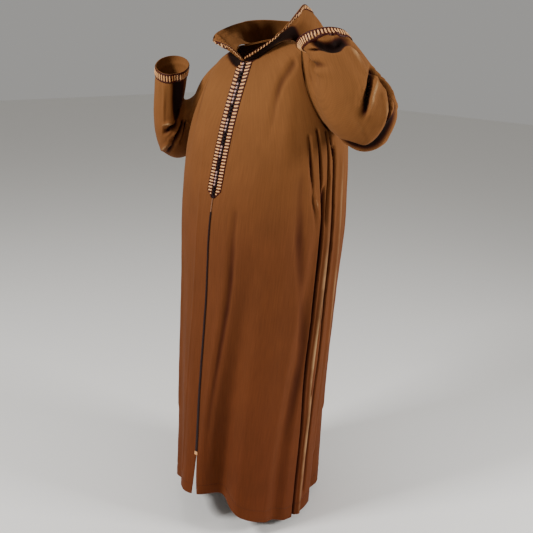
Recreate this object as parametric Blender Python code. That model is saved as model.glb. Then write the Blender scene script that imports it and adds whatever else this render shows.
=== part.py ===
"""A hooded djellaba as it hangs on a standing wearer with both hands at the hood.

Metres, +Z up. +X is the wearer's left and -Y the front. The origin is the middle of the neck,
where the shoulders carry the garment. Every piece of cloth is a thin wall on a smooth surface
that is worked out from the rows of a short table.
"""
import bpy
import numpy as np

# Cloth and seams
CLOTH = 0.002
BRAID = 0.0014
SEAM_GAP = 0.0004

# Body of the garment: height of each level at the front, back and sides, and its half sizes
TORSO = """
drop  z_front z_back z_left z_right front back  left  right round
0.00  -0.045  0.015  0.012  -0.004  0.077 0.072 0.078 0.078 1.00
0.05  -0.090 -0.022  0.006  -0.018  0.094 0.100 0.112 0.108 0.98
0.10  -0.140 -0.070 -0.006  -0.042  0.114 0.128 0.148 0.145 0.92
0.20  -0.235 -0.180 -0.098  -0.130  0.146 0.170 0.208 0.195 0.88
0.30  -0.325 -0.290 -0.205  -0.230  0.170 0.200 0.250 0.232 0.92
0.42  -0.430 -0.420 -0.385  -0.395  0.193 0.228 0.262 0.250 1.00
0.70  -0.695 -0.710 -0.690  -0.690  0.209 0.224 0.250 0.241 1.00
1.00  -0.990 -1.010 -1.000  -1.000  0.231 0.232 0.222 0.230 1.00
1.20  -1.165 -1.220 -1.215  -1.200  0.240 0.238 0.208 0.226 1.00
1.36  -1.310 -1.400 -1.410  -1.375  0.252 0.242 0.200 0.222 1.00
"""

# Large folds of the body: a trough is negative, a ridge positive; angles in degrees, 90 is the
# wearer's left side seam, -90 the right one and 180 the middle of the back
BODY_FOLDS = """
angle_top angle_low drop_top drop_low width_top width_low depth_top depth_low
34        20        0.45     1.37     10        23        0.000     -0.066
52        48        0.35     1.30     16        18        0.002      0.006
76        70        0.42     1.20      7         9       -0.006     -0.014
-11       -9        0.30     1.37      9        10        0.002      0.007
-34      -30        0.50     1.37     12        14        0.000     -0.016
-62      -60        0.40     1.37     13        15       -0.003     -0.020
118      122        0.45     1.37     12        14        0.000     -0.020
146      143        0.40     1.37     14        14        0.002      0.014
171      167        0.45     1.37     12        13        0.000     -0.022
-165    -168        0.50     1.37     12        12        0.000      0.012
-140    -143        0.45     1.37     13        13        0.000     -0.020
-113    -116        0.45     1.37     12        12        0.000      0.012
"""

HEM_DROP = 1.36
ARMHOLE_TOP = 0.088
ARMHOLE_LOW = 0.300
ARMHOLE_HALF_ANGLE = np.radians(17)

# Each sleeve ring: its outer or elbow point, its inner or crook point, and its width across
SLEEVE_LEFT = """
along out_x out_y  out_z  in_x  in_y   in_z   width
0.00  0.250  0.000 -0.205 0.150  0.000 -0.008 0.110
0.15  0.278 -0.008 -0.212 0.186 -0.010 -0.024 0.122
0.30  0.325 -0.020 -0.232 0.214 -0.022 -0.036 0.130
0.42  0.385 -0.032 -0.238 0.236 -0.036 -0.046 0.150
0.52  0.432 -0.045 -0.210 0.247 -0.052 -0.045 0.155
0.60  0.458 -0.050 -0.155 0.245 -0.066 -0.037 0.152
0.70  0.442 -0.050 -0.095 0.235 -0.080 -0.025 0.135
0.80  0.393 -0.047 -0.045 0.221 -0.088 -0.014 0.122
0.90  0.338 -0.034 -0.001 0.206 -0.094 -0.004 0.122
1.00  0.284 -0.018  0.030 0.190 -0.098  0.005 0.132
"""
SLEEVE_RIGHT = """
along out_x  out_y  out_z  in_x   in_y   in_z   width
0.00  -0.232  0.000 -0.225 -0.140  0.000 -0.030 0.110
0.15  -0.262  0.008 -0.262 -0.212  0.004 -0.085 0.112
0.30  -0.288  0.014 -0.308 -0.252 -0.005 -0.140 0.110
0.42  -0.308  0.008 -0.342 -0.275 -0.024 -0.168 0.116
0.52  -0.332 -0.030 -0.350 -0.277 -0.042 -0.172 0.126
0.60  -0.349 -0.068 -0.326 -0.270 -0.052 -0.168 0.130
0.70  -0.347 -0.098 -0.268 -0.260 -0.058 -0.151 0.122
0.80  -0.331 -0.116 -0.202 -0.249 -0.063 -0.128 0.114
0.90  -0.314 -0.127 -0.136 -0.240 -0.066 -0.100 0.114
1.00  -0.302 -0.131 -0.069 -0.230 -0.069 -0.069 0.122
"""
# Direction across each sleeve, from its front face to its back face
ACROSS_LEFT = """
along x     y    z
0.00  0.00  1.00  0.00
0.50  0.10  0.99  0.10
0.78  0.00  0.98 -0.10
1.00 -0.50  0.74 -0.42
"""
ACROSS_RIGHT = """
along x     y    z
0.00  0.00  1.00 0.00
0.30 -0.25  0.95 0.15
0.55 -0.55  0.75 0.35
1.00 -0.60  0.69 0.39
"""
# Way in which each sleeve leaves its armhole, and how far it would run on that way
SLEEVE_START = {"left": (0.93, -0.08, -0.22), "right": (-0.78, -0.05, -0.62)}
SLEEVE_REACH = 0.42
ARMHOLE_BLEND = 0.16

# Hood: at each angle round the neck, its face edge, how far its pouch hangs and how it swells
HOOD_LEFT = """
angle edge_x edge_y  edge_z pouch swell
0     0.005 -0.086  -0.034  0.010 0.002
20    0.036 -0.084  -0.018  0.011 0.004
40    0.070 -0.069   0.006  0.012 0.006
60    0.105 -0.042   0.044  0.014 0.008
76    0.117 -0.008   0.084  0.020 0.010
92    0.106  0.028   0.103  0.034 0.012
120   0.086  0.078   0.088  0.082 0.020
140   0.063  0.104   0.072  0.150 0.026
160   0.034  0.119   0.064  0.245 0.030
180   0.000  0.125   0.062  0.330 0.032
"""
HOOD_RIGHT = """
angle edge_x  edge_y  edge_z pouch swell
0     -0.005 -0.086  -0.034  0.010 0.002
16    -0.030 -0.101  -0.010  0.011 0.002
30    -0.062 -0.109   0.001  0.012 0.002
46    -0.101 -0.098   0.006  0.013 0.004
62    -0.121 -0.068   0.022  0.014 0.006
80    -0.116 -0.028   0.040  0.020 0.008
100   -0.108  0.018   0.054  0.038 0.012
120   -0.092  0.060   0.062  0.080 0.018
140   -0.066  0.096   0.064  0.150 0.026
160   -0.034  0.117   0.063  0.245 0.030
180   0.000   0.125   0.062  0.330 0.032
"""
HOOD_CLEARANCE = 0.005
HOOD_LOW = 0.34
HOOD_KNOTS = np.array([0.18, HOOD_LOW, 0.42, 0.52, 0.76, 1.0])
HOOD_UPRIGHT = 0.016
HOOD_HANGING = 0.060
HOOD_OPENING = 0.012
HOOD_SEAM = 0.005
HOOD_TURN = 0.012
# Where the hanging section's points lie: the inner layer's as shares of the pouch's drop, the
# outer layer's as shares of the way from the fold at the bottom up to the edge
HOOD_INNER_MIDDLE = 0.50
HOOD_INNER_LOW = 0.92
HOOD_OUTER_LOW = 0.18
HOOD_OUTER_HIGH = 0.60
HOOD_LOW_SWELL = 0.75

# Trims: distances from the centre front, and drops from the neck
KNOT_BAND_HALF = 0.0062
KNOT_PITCH = 0.0095
KNOT_RISE = 0.0016
KNOT_SECTION = (0.2, 1.0, 1.0, 0.2)
PLACKET_OUTER = 0.0262
PLACKET_TOP = 0.003
PLACKET_TIP = 0.388
PLACKET_SLANT = 0.022
SEAM_BRAID_HALF_HIGH = 0.0026
SEAM_BRAID_HALF_LOW = 0.0048
SLIT_TOP = 1.20
SLIT_HALF_AT_HEM = 0.007
TACK_HEIGHT = 0.012
TACK_HALF = 0.007
END_GAP = 0.0006
CUFF_TRIM_WIDTH = 0.027
CUFF_TRIM_ROWS = 2
CUFF_TRIM_STEP = 0.06
HOOD_TRIM_ROWS = 2
HOOD_TRIM_WIDTH = 0.016
HOOD_TRIM_LOWEST = 0.5

# Levels of the rows below the armhole, and how finely each piece is divided
SKIRT_LEVELS = (0.345, 0.40, 0.46, 0.53, 0.60, 0.68, 0.76, 0.84, 0.92,
                1.00, 1.08, 1.14, SLIT_TOP, 1.26, 1.31, HEM_DROP)
FRONT_COLUMNS = 11
BACK_COLUMNS = 17
SHOULDER_ROWS = 3
PLACKET_ROWS = 20
SEAM_BRAID_ROWS = 28
SLEEVE_COLUMNS = 20
SLEEVE_ROWS = 26
SLEEVE_EVEN_ROWS = 18
HOOD_COLUMNS = 15
HOOD_INNER_ROWS = 6
HOOD_OUTER_ROWS = 9

WOOL = ("tobacco_wool", (0.27, 0.12, 0.045), 0.85)
BRAID_CREAM = ("cream_braid", (0.72, 0.52, 0.30), 0.6)
BRAID_PLUM = ("plum_cord", (0.075, 0.02, 0.02), 0.6)


def table(text):
    """The named columns of a table, each an array with a value for every row."""
    lines = [line.split() for line in text.strip().splitlines()]
    values = np.array([[float(word) for word in line] for line in lines[1:]])
    return {name: values[:, i] for i, name in enumerate(lines[0])}


def smooth(where, at, values):
    """A smooth curve through the rows, each slope taken from the rows beside it."""
    where = np.clip(where, at[0], at[-1])
    slopes = np.gradient(values, at, axis=0)
    row = np.clip(np.searchsorted(at, where, side="right") - 1, 0, len(at) - 2)
    span = at[row + 1] - at[row]
    t = (where - at[row]) / span
    if values.ndim > 1:
        span = span[..., None]
        t = t[..., None]
    start = (2 * t**3 - 3 * t**2 + 1) * values[row] + (t**3 - 2 * t**2 + t) * span * slopes[row]
    end = (3 * t**2 - 2 * t**3) * values[row + 1] + (t**3 - t**2) * span * slopes[row + 1]
    return start + end


def read(rows, key, columns, where):
    """One or more columns of a table, read smoothly at any place along its key column."""
    if isinstance(columns, str):
        return smooth(where, rows[key], rows[columns])
    return smooth(where, rows[key], np.stack([rows[name] for name in columns], -1))


def unit(vectors):
    return vectors / np.linalg.norm(vectors, axis=-1, keepdims=True)


def ease(t):
    """From 0 to 1 with a soft start and end."""
    t = np.clip(t, 0, 1)
    return t * t * (3 - 2 * t)


TORSO_ROWS = table(TORSO)
FOLD_ROWS = table(BODY_FOLDS)


def fold_depth(angle, drop):
    """How far all the large folds together move the cloth in or out."""
    depth = np.zeros_like(angle)
    for i in range(len(FOLD_ROWS["drop_top"])):
        row = {name: column[i] for name, column in FOLD_ROWS.items()}
        run = np.clip((drop - row["drop_top"]) / (row["drop_low"] - row["drop_top"]), 0, 1)
        centre = np.radians(row["angle_top"] + (row["angle_low"] - row["angle_top"]) * run)
        half = np.radians(row["width_top"] + (row["width_low"] - row["width_top"]) * run)
        away = (angle - centre + np.pi) % (2 * np.pi) - np.pi
        across = np.where(np.abs(away) < half, (1 + np.cos(np.pi * away / half)) / 2, 0)
        height = row["depth_top"] + (row["depth_low"] - row["depth_top"]) * run**1.3
        depth += across * height * ease((drop - row["drop_top"]) / 0.15)
    return depth


def torso(angle, drop):
    """Outer surface of the body: angle round it from the centre front, drop below the neck."""
    angle, drop = np.broadcast_arrays(np.asarray(angle, float), np.asarray(drop, float))
    sine, cosine = np.sin(angle), np.cos(angle)

    def level(name):
        return read(TORSO_ROWS, "drop", name, drop)

    side = np.where(sine > 0, level("left"), level("right"))
    depth = np.where(cosine > 0, level("front"), level("back"))
    z_side = np.where(sine > 0, level("z_left"), level("z_right"))
    z_middle = np.where(cosine > 0, level("z_front"), level("z_back"))
    power = level("round")
    fold = fold_depth(angle, drop)
    x = side * np.sign(sine) * np.abs(sine)**power + fold * sine
    y = -depth * np.sign(cosine) * np.abs(cosine)**power - fold * cosine
    return np.stack([x, y, z_side + (z_middle - z_side) * cosine**2], -1)


def front_angle(offset, drop):
    """The angle of a place on the front, from its distance to the side of the centre front."""
    left, right = read(TORSO_ROWS, "drop", "left", drop), read(TORSO_ROWS, "drop", "right", drop)
    share = np.abs(offset) / np.where(offset > 0, left, right)
    sine = share**(1 / read(TORSO_ROWS, "drop", "round", drop))
    return np.sign(offset) * np.arcsin(sine)


def outward(surface, u, v, v_low, v_high, sign=1):
    """Unit normals of a surface, from small steps along its two parameters."""
    step = 1e-4
    low, high = np.clip(v - step, v_low, v_high), np.clip(v + step, v_low, v_high)
    along_u = surface(u + step, v) - surface(u - step, v)
    along_v = surface(u, high) - surface(u, low)
    return sign * unit(np.cross(along_v, along_u))


def torso_normals(angle, drop):
    return outward(torso, angle, drop, 0, HEM_DROP)


def on_torso(angle, drop, height):
    """Points on the body, moved out from it."""
    return torso(angle, drop) + torso_normals(angle, drop) * np.asarray(height)[..., None]


def armhole(turn, side):
    """The armhole's outline on the body: turn 0 at the underarm, half a turn at the shoulder."""
    middle = (ARMHOLE_TOP + ARMHOLE_LOW) / 2
    half = (ARMHOLE_LOW - ARMHOLE_TOP) / 2
    angle = side * (np.pi / 2 + ARMHOLE_HALF_ANGLE * np.sin(turn))
    return angle, middle + half * np.cos(turn)


def edge_angle(drop):
    """Angle from the centre front to the panel's side edge: seam, armhole front, seam."""
    middle = (ARMHOLE_TOP + ARMHOLE_LOW) / 2
    half = (ARMHOLE_LOW - ARMHOLE_TOP) / 2
    cut = np.sqrt(np.clip(1 - ((drop - middle) / half)**2, 0, 1))
    return np.pi / 2 - ARMHOLE_HALF_ANGLE * cut


class Sleeve:
    """A sleeve as rings that leave the armhole, fan out at the elbow and end at the cuff."""

    def __init__(self, name, side, rings, across):
        self.side = side
        self.rings = table(rings)
        self.across = table(across)
        self.start = np.array(SLEEVE_START[name])

    def __call__(self, turn, along):
        turn, along = np.broadcast_arrays(np.asarray(turn, float), np.asarray(along, float))
        outer = read(self.rings, "along", ("out_x", "out_y", "out_z"), along)
        inner = read(self.rings, "along", ("in_x", "in_y", "in_z"), along)
        half = (outer - inner) / 2
        across = read(self.across, "along", ("x", "y", "z"), along)
        axis = unit(half)
        across = unit(across - axis * np.sum(across * axis, -1, keepdims=True))
        across = across * (read(self.rings, "along", "width", along) / 2)[..., None]
        ring = (outer + inner) / 2 + half * np.cos(turn)[..., None] + across * np.sin(turn)[..., None]
        angle, drop = armhole(turn, self.side)
        hole = torso(angle, drop) + self.start * (SLEEVE_REACH * along + SEAM_GAP)[..., None]
        stay = ease(1 - along / ARMHOLE_BLEND)[..., None]
        return ring * (1 - stay) + hole * stay

    def normals(self, turn, along):
        return outward(self, turn, along, 0, 1, -self.side)


class Hood:
    """Half of the hood: up from the neck seam, down into the pouch and up to the face edge."""

    def __init__(self, side, rows):
        self.side = side
        self.rows = table(rows)

    def __call__(self, angle, rise):
        angle, rise = np.broadcast_arrays(np.asarray(angle, float), np.asarray(rise, float))
        degrees = np.degrees(angle)
        round_neck = self.side * angle
        edge = read(self.rows, "angle", ("edge_x", "edge_y", "edge_z"), degrees)
        pouch = read(self.rows, "angle", "pouch", degrees)
        swell = read(self.rows, "angle", "swell", degrees)
        seam = on_torso(round_neck, 0 * pouch, 0 * pouch + SEAM_GAP)
        out = np.stack([np.sin(round_neck), -np.cos(round_neck), 0 * pouch + 0.2], -1)
        hangs = ease((pouch - HOOD_UPRIGHT) / (HOOD_HANGING - HOOD_UPRIGHT))[..., None]

        def section(share, hanging):
            share = np.broadcast_to(share, pouch.shape)[..., None]
            bulge = out * swell[..., None] * np.sin(np.pi * share)
            upright = seam + (edge - seam) * share + bulge
            return upright + (hanging - upright) * hangs

        down = np.clip(rise / HOOD_LOW, 0, 1)
        gap = SEAM_GAP + (HOOD_CLEARANCE - SEAM_GAP) * ease(down / 0.3)
        inner_layer = section(rise, on_torso(round_neck, HOOD_INNER_LOW * pouch * down, gap))
        above = on_torso(round_neck, HOOD_INNER_MIDDLE * pouch, 0 * pouch + HOOD_CLEARANCE)
        low = on_torso(round_neck, HOOD_INNER_LOW * pouch, 0 * pouch + HOOD_CLEARANCE)
        turned = on_torso(round_neck, pouch, 0 * pouch + HOOD_CLEARANCE + HOOD_TURN / 2)
        lower = turned + (edge - turned) * HOOD_OUTER_LOW + out * (swell * HOOD_LOW_SWELL)[..., None]
        upper = turned + (edge - turned) * HOOD_OUTER_HIGH + out * swell[..., None]
        hanging = [above, low, turned, lower, upper, edge]
        points = [section(share, point) for share, point in zip(HOOD_KNOTS, hanging)]
        outer_layer = self.through(HOOD_KNOTS, points, rise.clip(HOOD_KNOTS[0]))
        return np.where((rise < HOOD_LOW)[..., None], inner_layer, outer_layer)

    @staticmethod
    def through(knots, points, rise):
        """A smooth curve through the section's own points, at each place along it."""
        stack = np.stack(points, 0)
        slopes = np.gradient(stack, knots, axis=0)
        row = np.clip(np.searchsorted(knots, rise, side="right") - 1, 0, len(knots) - 2)
        t = ((rise - knots[row]) / (knots[row + 1] - knots[row]))[..., None]
        span = (knots[row + 1] - knots[row])[..., None]
        pick = np.indices(rise.shape)
        first, second = stack[(row, *pick)], stack[(row + 1, *pick)]
        slope_a, slope_b = slopes[(row, *pick)], slopes[(row + 1, *pick)]
        start = (2 * t**3 - 3 * t**2 + 1) * first + (t**3 - 2 * t**2 + t) * span * slope_a
        return start + (3 * t**2 - 2 * t**3) * second + (t**3 - t**2) * span * slope_b

    def normals(self, angle, rise):
        return outward(self, angle, rise, 0, 1, -self.side)


LEFT_SLEEVE = Sleeve("left", 1, SLEEVE_LEFT, ACROSS_LEFT)
RIGHT_SLEEVE = Sleeve("right", -1, SLEEVE_RIGHT, ACROSS_RIGHT)
LEFT_HOOD = Hood(1, HOOD_LEFT)
RIGHT_HOOD = Hood(-1, HOOD_RIGHT)


def material(spec):
    name, colour, roughness = spec
    found = bpy.data.materials.get(name)
    if found:
        return found
    new = bpy.data.materials.new(name)
    new.use_nodes = True
    shader = new.node_tree.nodes["Principled BSDF"]
    shader.inputs["Base Color"].default_value = (*colour, 1)
    shader.inputs["Roughness"].default_value = roughness
    shader.inputs["Metallic"].default_value = 0
    return new


def wall(name, outside, inside, spec, tube=False):
    """A closed wall between two grids of points; a tube's columns join up all the way round."""
    rows, columns = outside.shape[:2]
    points = np.concatenate([outside.reshape(-1, 3), inside.reshape(-1, 3)])
    inner = rows * columns
    last = columns if tube else columns - 1
    faces = []
    for i in range(rows - 1):
        for j in range(last):
            a, b = i * columns + j, i * columns + (j + 1) % columns
            c, d = b + columns, a + columns
            faces.append((a, b, c, d))
            faces.append((a + inner, d + inner, c + inner, b + inner))
    for j in range(last):
        a, b = j, (j + 1) % columns
        faces.append((b, a, a + inner, b + inner))
        a, b = a + (rows - 1) * columns, b + (rows - 1) * columns
        faces.append((a, b, b + inner, a + inner))
    if not tube:
        for i in range(rows - 1):
            a, b = i * columns, (i + 1) * columns
            faces.append((a, b, b + inner, a + inner))
            a, b = a + columns - 1, b + columns - 1
            faces.append((b, a, a + inner, b + inner))
    mesh = bpy.data.meshes.new(name)
    mesh.from_pydata(points.tolist(), [], faces)
    mesh.materials.append(material(spec))
    mesh.shade_smooth()
    mesh.set_sharp_from_angle(angle=np.radians(50))
    piece = bpy.data.objects.new(name, mesh)
    bpy.context.scene.collection.objects.link(piece)
    return piece


def lined_up(outside, normals, thick, flip):
    """The outer and inner grids of a wall, with the columns in the order that faces outward."""
    inside = outside - normals * thick
    if flip:
        return outside[:, ::-1], inside[:, ::-1]
    return outside, inside


def panel_drops():
    """Levels of a panel's rows: the shoulder, then the armhole's own points, then the skirt."""
    shoulder = np.linspace(0, ARMHOLE_TOP, SHOULDER_ROWS + 1)
    turns = np.linspace(np.pi, 0, SLEEVE_COLUMNS // 2 + 1)
    hole = armhole(turns, 1)[1]
    return np.concatenate([shoulder[:-1], hole, SKIRT_LEVELS])


def front_panel(name, side):
    """One front, from the centre seam and the hem slit round to the side seam and armhole."""
    drops = panel_drops()[:, None]
    opened = SLIT_HALF_AT_HEM * np.clip((drops - SLIT_TOP) / (HEM_DROP - SLIT_TOP), 0, 1)
    first = side * front_angle(side * (SEAM_GAP / 2 + opened), drops)
    last = edge_angle(drops) - SEAM_GAP / 2 / read(TORSO_ROWS, "drop", "left", drops)
    share = np.linspace(0, 1, FRONT_COLUMNS + 1)[None, :]
    angle = side * (first + (last - first) * share)
    drop = drops + 0 * angle
    outside = torso(angle, drop)
    return wall(name, *lined_up(outside, torso_normals(angle, drop), CLOTH, side > 0), WOOL)


def back_panel():
    """The whole back, from one side seam and armhole to the other."""
    drops = panel_drops()[:, None]
    edge = edge_angle(drops) - SEAM_GAP / 2 / read(TORSO_ROWS, "drop", "left", drops)
    first = np.pi - edge
    share = np.linspace(0, 1, BACK_COLUMNS + 1)[None, :]
    angle = first + (2 * np.pi - 2 * first) * share
    drop = drops + 0 * angle
    outside = torso(angle, drop)
    return wall("back", *lined_up(outside, torso_normals(angle, drop), CLOTH, True), WOOL)


def tube_turns():
    return np.linspace(0, 2 * np.pi, SLEEVE_COLUMNS + 1)[:-1][None, :]


def cuff_levels(sleeve):
    """Where the braid's rows lie on a sleeve: a set width in from its mouth."""
    turn = tube_turns()
    length = np.linalg.norm(sleeve(turn, 1 + 0 * turn) - sleeve(turn, 1 - CUFF_TRIM_STEP + 0 * turn), axis=-1)
    low = 1 - CUFF_TRIM_WIDTH * CUFF_TRIM_STEP / length
    return low + (1 - low) * np.linspace(0, 1, CUFF_TRIM_ROWS + 1)[:, None]


def sleeve_piece(name, sleeve):
    """A sleeve in even rows as far as the elbow, then in rows that lead up to the braid's own."""
    trim = cuff_levels(sleeve)
    even = np.linspace(0, 1, SLEEVE_ROWS + 1)[:SLEEVE_EVEN_ROWS + 1, None] + 0 * tube_turns()
    rest = np.linspace(0, 1, SLEEVE_ROWS - SLEEVE_EVEN_ROWS - CUFF_TRIM_ROWS + 1)[1:-1, None]
    along = np.concatenate([even, even[-1:] + (trim[:1] - even[-1:]) * rest, trim])
    turn = tube_turns() + 0 * along
    outside = sleeve(turn, along)
    normals = sleeve.normals(turn, along)
    return wall(name, *lined_up(outside, normals, CLOTH, sleeve.side < 0), WOOL, True)


def cuff_trim(name, sleeve):
    """The braid round the mouth of a sleeve, just outside its cloth."""
    along = cuff_levels(sleeve)
    turn = tube_turns() + 0 * along
    normals = sleeve.normals(turn, along)
    outside = sleeve(turn, along) + normals * (SEAM_GAP + BRAID)
    return wall(name, *lined_up(outside, normals, BRAID, sleeve.side < 0), BRAID_CREAM, True)


def hood_columns():
    return np.linspace(HOOD_OPENING, np.pi - HOOD_SEAM, HOOD_COLUMNS + 1)[None, :]


def trim_rises(hood, angle):
    """Where the braid's rows lie on the hood: a set width down from the face edge."""
    step = 0.02
    length = np.linalg.norm(hood(angle, 1 + 0 * angle) - hood(angle, 1 - step + 0 * angle), axis=-1)
    low = np.maximum(1 - HOOD_TRIM_WIDTH * step / length, HOOD_TRIM_LOWEST)
    return low + (1 - low) * np.linspace(0, 1, HOOD_TRIM_ROWS + 1)[:, None]


def hood_piece(name, hood):
    angle = hood_columns()
    trim = trim_rises(hood, angle)
    inner = np.linspace(0, HOOD_LOW, HOOD_INNER_ROWS + 1)[:, None] + 0 * angle
    outer = HOOD_LOW + (trim[:1] - HOOD_LOW) * np.linspace(0, 1, HOOD_OUTER_ROWS + 1)[:, None]
    rise = np.concatenate([inner[:-1], outer[:-1], trim])
    angle = angle + 0 * rise
    outside = hood(angle, rise)
    return wall(name, *lined_up(outside, hood.normals(angle, rise), CLOTH, hood.side < 0), WOOL)


def hood_trim(name, hood):
    """The braid along the hood's face edge, on its outer side."""
    rise = trim_rises(hood, hood_columns())
    angle = hood_columns() + 0 * rise
    normals = hood.normals(angle, rise)
    outside = hood(angle, rise) + normals * (SEAM_GAP + BRAID)
    return wall(name, *lined_up(outside, normals, BRAID, hood.side < 0), BRAID_CREAM)


def strip(name, spec, drops, near, far, rises, thick):
    """A band laid on the front: near and far are its edges' distances from the centre front."""
    share = np.linspace(0, 1, rises.shape[1])[None, :]
    offset = near + (far - near) * share
    drop = drops + 0 * offset
    angle = front_angle(offset, drop)
    normals = torso_normals(angle, drop)
    outside = torso(angle, drop) + normals * (rises[..., None] + SEAM_GAP)
    return wall(name, *lined_up(outside, normals, thick, True), spec)


def placket_trim(name, side):
    """One braided strip of the front closing, cut to a slant at its lower end."""
    share = np.linspace(0, 1, 3)[None, :]
    length = np.linspace(0, 1, PLACKET_ROWS + 1)[:, None]
    reach = PLACKET_TIP - PLACKET_SLANT * (share if side > 0 else 1 - share)
    drops = PLACKET_TOP + (reach - PLACKET_TOP) * length
    near, far = KNOT_BAND_HALF + END_GAP, PLACKET_OUTER
    if side < 0:
        near, far = -far, -near
    return strip(name, BRAID_CREAM, drops, near, far, BRAID + 0 * drops, BRAID)


def knot_band():
    """The band of knotted buttons and loops between the two strips."""
    count = int(round((PLACKET_TIP - PLACKET_TOP) / KNOT_PITCH))
    drops = np.linspace(PLACKET_TOP, PLACKET_TIP, 2 * count + 1)[:, None] + np.zeros((1, 4))
    bump = np.where(np.arange(2 * count + 1) % 2 == 1, KNOT_RISE, 0)[:, None]
    rises = BRAID + bump * np.array([KNOT_SECTION])
    share = np.linspace(0, 1, 4)[None, :]
    offset = KNOT_BAND_HALF * (2 * share - 1)
    angle = front_angle(offset, drops)
    normals = torso_normals(angle, drops)
    base = torso(angle, drops)
    outside = base + normals * (rises + SEAM_GAP)[..., None]
    inside = base + normals * SEAM_GAP
    return wall("placket_knots", outside[:, ::-1], inside[:, ::-1], BRAID_PLUM)


def front_seam_braid():
    """The narrow braid from the closing to the hem slit: it widens towards the slit."""
    length = np.linspace(PLACKET_TIP + END_GAP, SLIT_TOP - END_GAP, SEAM_BRAID_ROWS + 1)
    drops = length[:, None] + np.zeros((1, 3))
    share = np.linspace(0, 1, SEAM_BRAID_ROWS + 1)[:, None]
    half = SEAM_BRAID_HALF_HIGH + (SEAM_BRAID_HALF_LOW - SEAM_BRAID_HALF_HIGH) * share
    return strip("front_seam_braid", BRAID_PLUM, drops, -half, half, BRAID + 0 * drops, BRAID)


def slit_tack():
    """The bar of stitching that ends the centre seam above the hem slit."""
    drops = np.linspace(SLIT_TOP, SLIT_TOP + TACK_HEIGHT, 3)[:, None] + np.zeros((1, 5))
    return strip("hem_slit_tack", BRAID_CREAM, drops, -TACK_HALF, TACK_HALF, BRAID + 0 * drops, BRAID)


def build():
    for old in list(bpy.data.objects):
        bpy.data.objects.remove(old, do_unlink=True)
    front_panel("front_left", 1)
    front_panel("front_right", -1)
    back_panel()
    sleeve_piece("sleeve_left", LEFT_SLEEVE)
    sleeve_piece("sleeve_right", RIGHT_SLEEVE)
    hood_piece("hood_left", LEFT_HOOD)
    hood_piece("hood_right", RIGHT_HOOD)
    placket_trim("placket_trim_left", 1)
    placket_trim("placket_trim_right", -1)
    knot_band()
    front_seam_braid()
    slit_tack()
    cuff_trim("cuff_trim_left", LEFT_SLEEVE)
    cuff_trim("cuff_trim_right", RIGHT_SLEEVE)
    hood_trim("hood_trim_left", LEFT_HOOD)
    hood_trim("hood_trim_right", RIGHT_HOOD)


build()
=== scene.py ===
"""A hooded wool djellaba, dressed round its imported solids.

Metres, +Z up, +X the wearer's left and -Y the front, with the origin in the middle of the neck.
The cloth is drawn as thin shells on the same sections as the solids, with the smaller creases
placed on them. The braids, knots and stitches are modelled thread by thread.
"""

import math

import bpy
import numpy as np
from mathutils import Matrix, Vector


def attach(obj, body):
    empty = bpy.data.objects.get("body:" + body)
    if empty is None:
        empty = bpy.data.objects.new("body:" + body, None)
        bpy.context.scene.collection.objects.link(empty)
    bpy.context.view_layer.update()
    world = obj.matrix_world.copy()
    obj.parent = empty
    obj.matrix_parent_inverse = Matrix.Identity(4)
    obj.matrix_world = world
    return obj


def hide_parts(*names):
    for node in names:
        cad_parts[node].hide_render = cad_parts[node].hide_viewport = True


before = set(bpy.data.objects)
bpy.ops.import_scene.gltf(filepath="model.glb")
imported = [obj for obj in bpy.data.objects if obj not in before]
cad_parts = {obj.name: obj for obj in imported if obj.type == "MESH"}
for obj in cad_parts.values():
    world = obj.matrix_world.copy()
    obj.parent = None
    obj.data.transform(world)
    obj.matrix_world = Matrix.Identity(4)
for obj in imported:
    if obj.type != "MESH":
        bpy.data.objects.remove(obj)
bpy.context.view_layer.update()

MM = 0.001
CLOTH = 1.6 * MM
SEAM_GAP = 0.4 * MM

# Sections of the body: height of each level at the front, back and sides, and its half sizes
TORSO = """
drop  z_front z_back z_left z_right front back  left  right round
0.00  -0.045  0.015  0.012  -0.004  0.077 0.072 0.078 0.078 1.00
0.05  -0.090 -0.022  0.006  -0.018  0.094 0.100 0.112 0.108 0.98
0.10  -0.140 -0.070 -0.006  -0.042  0.114 0.128 0.148 0.145 0.92
0.20  -0.235 -0.180 -0.098  -0.130  0.146 0.170 0.208 0.195 0.88
0.30  -0.325 -0.290 -0.205  -0.230  0.170 0.200 0.250 0.232 0.92
0.42  -0.430 -0.420 -0.385  -0.395  0.193 0.228 0.262 0.250 1.00
0.70  -0.695 -0.710 -0.690  -0.690  0.209 0.224 0.250 0.241 1.00
1.00  -0.990 -1.010 -1.000  -1.000  0.231 0.232 0.222 0.230 1.00
1.20  -1.165 -1.220 -1.215  -1.200  0.240 0.238 0.208 0.226 1.00
1.36  -1.310 -1.400 -1.410  -1.375  0.252 0.242 0.200 0.222 1.00
"""
# Large folds of the body: a trough is negative, a ridge positive; angles in degrees, 90 is the
# wearer's left side seam, -90 the right one and 180 the middle of the back
BODY_FOLDS = """
angle_top angle_low drop_top drop_low width_top width_low depth_top depth_low
34        20        0.45     1.37     10        23        0.000     -0.066
52        48        0.35     1.30     16        18        0.002      0.006
76        70        0.42     1.20      7         9       -0.006     -0.014
-11       -9        0.30     1.37      9        10        0.002      0.007
-34      -30        0.50     1.37     12        14        0.000     -0.016
-62      -60        0.40     1.37     13        15       -0.003     -0.020
118      122        0.45     1.37     12        14        0.000     -0.020
146      143        0.40     1.37     14        14        0.002      0.014
171      167        0.45     1.37     12        13        0.000     -0.022
-165    -168        0.50     1.37     12        12        0.000      0.012
-140    -143        0.45     1.37     13        13        0.000     -0.020
-113    -116        0.45     1.37     12        12        0.000      0.012
"""
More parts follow.
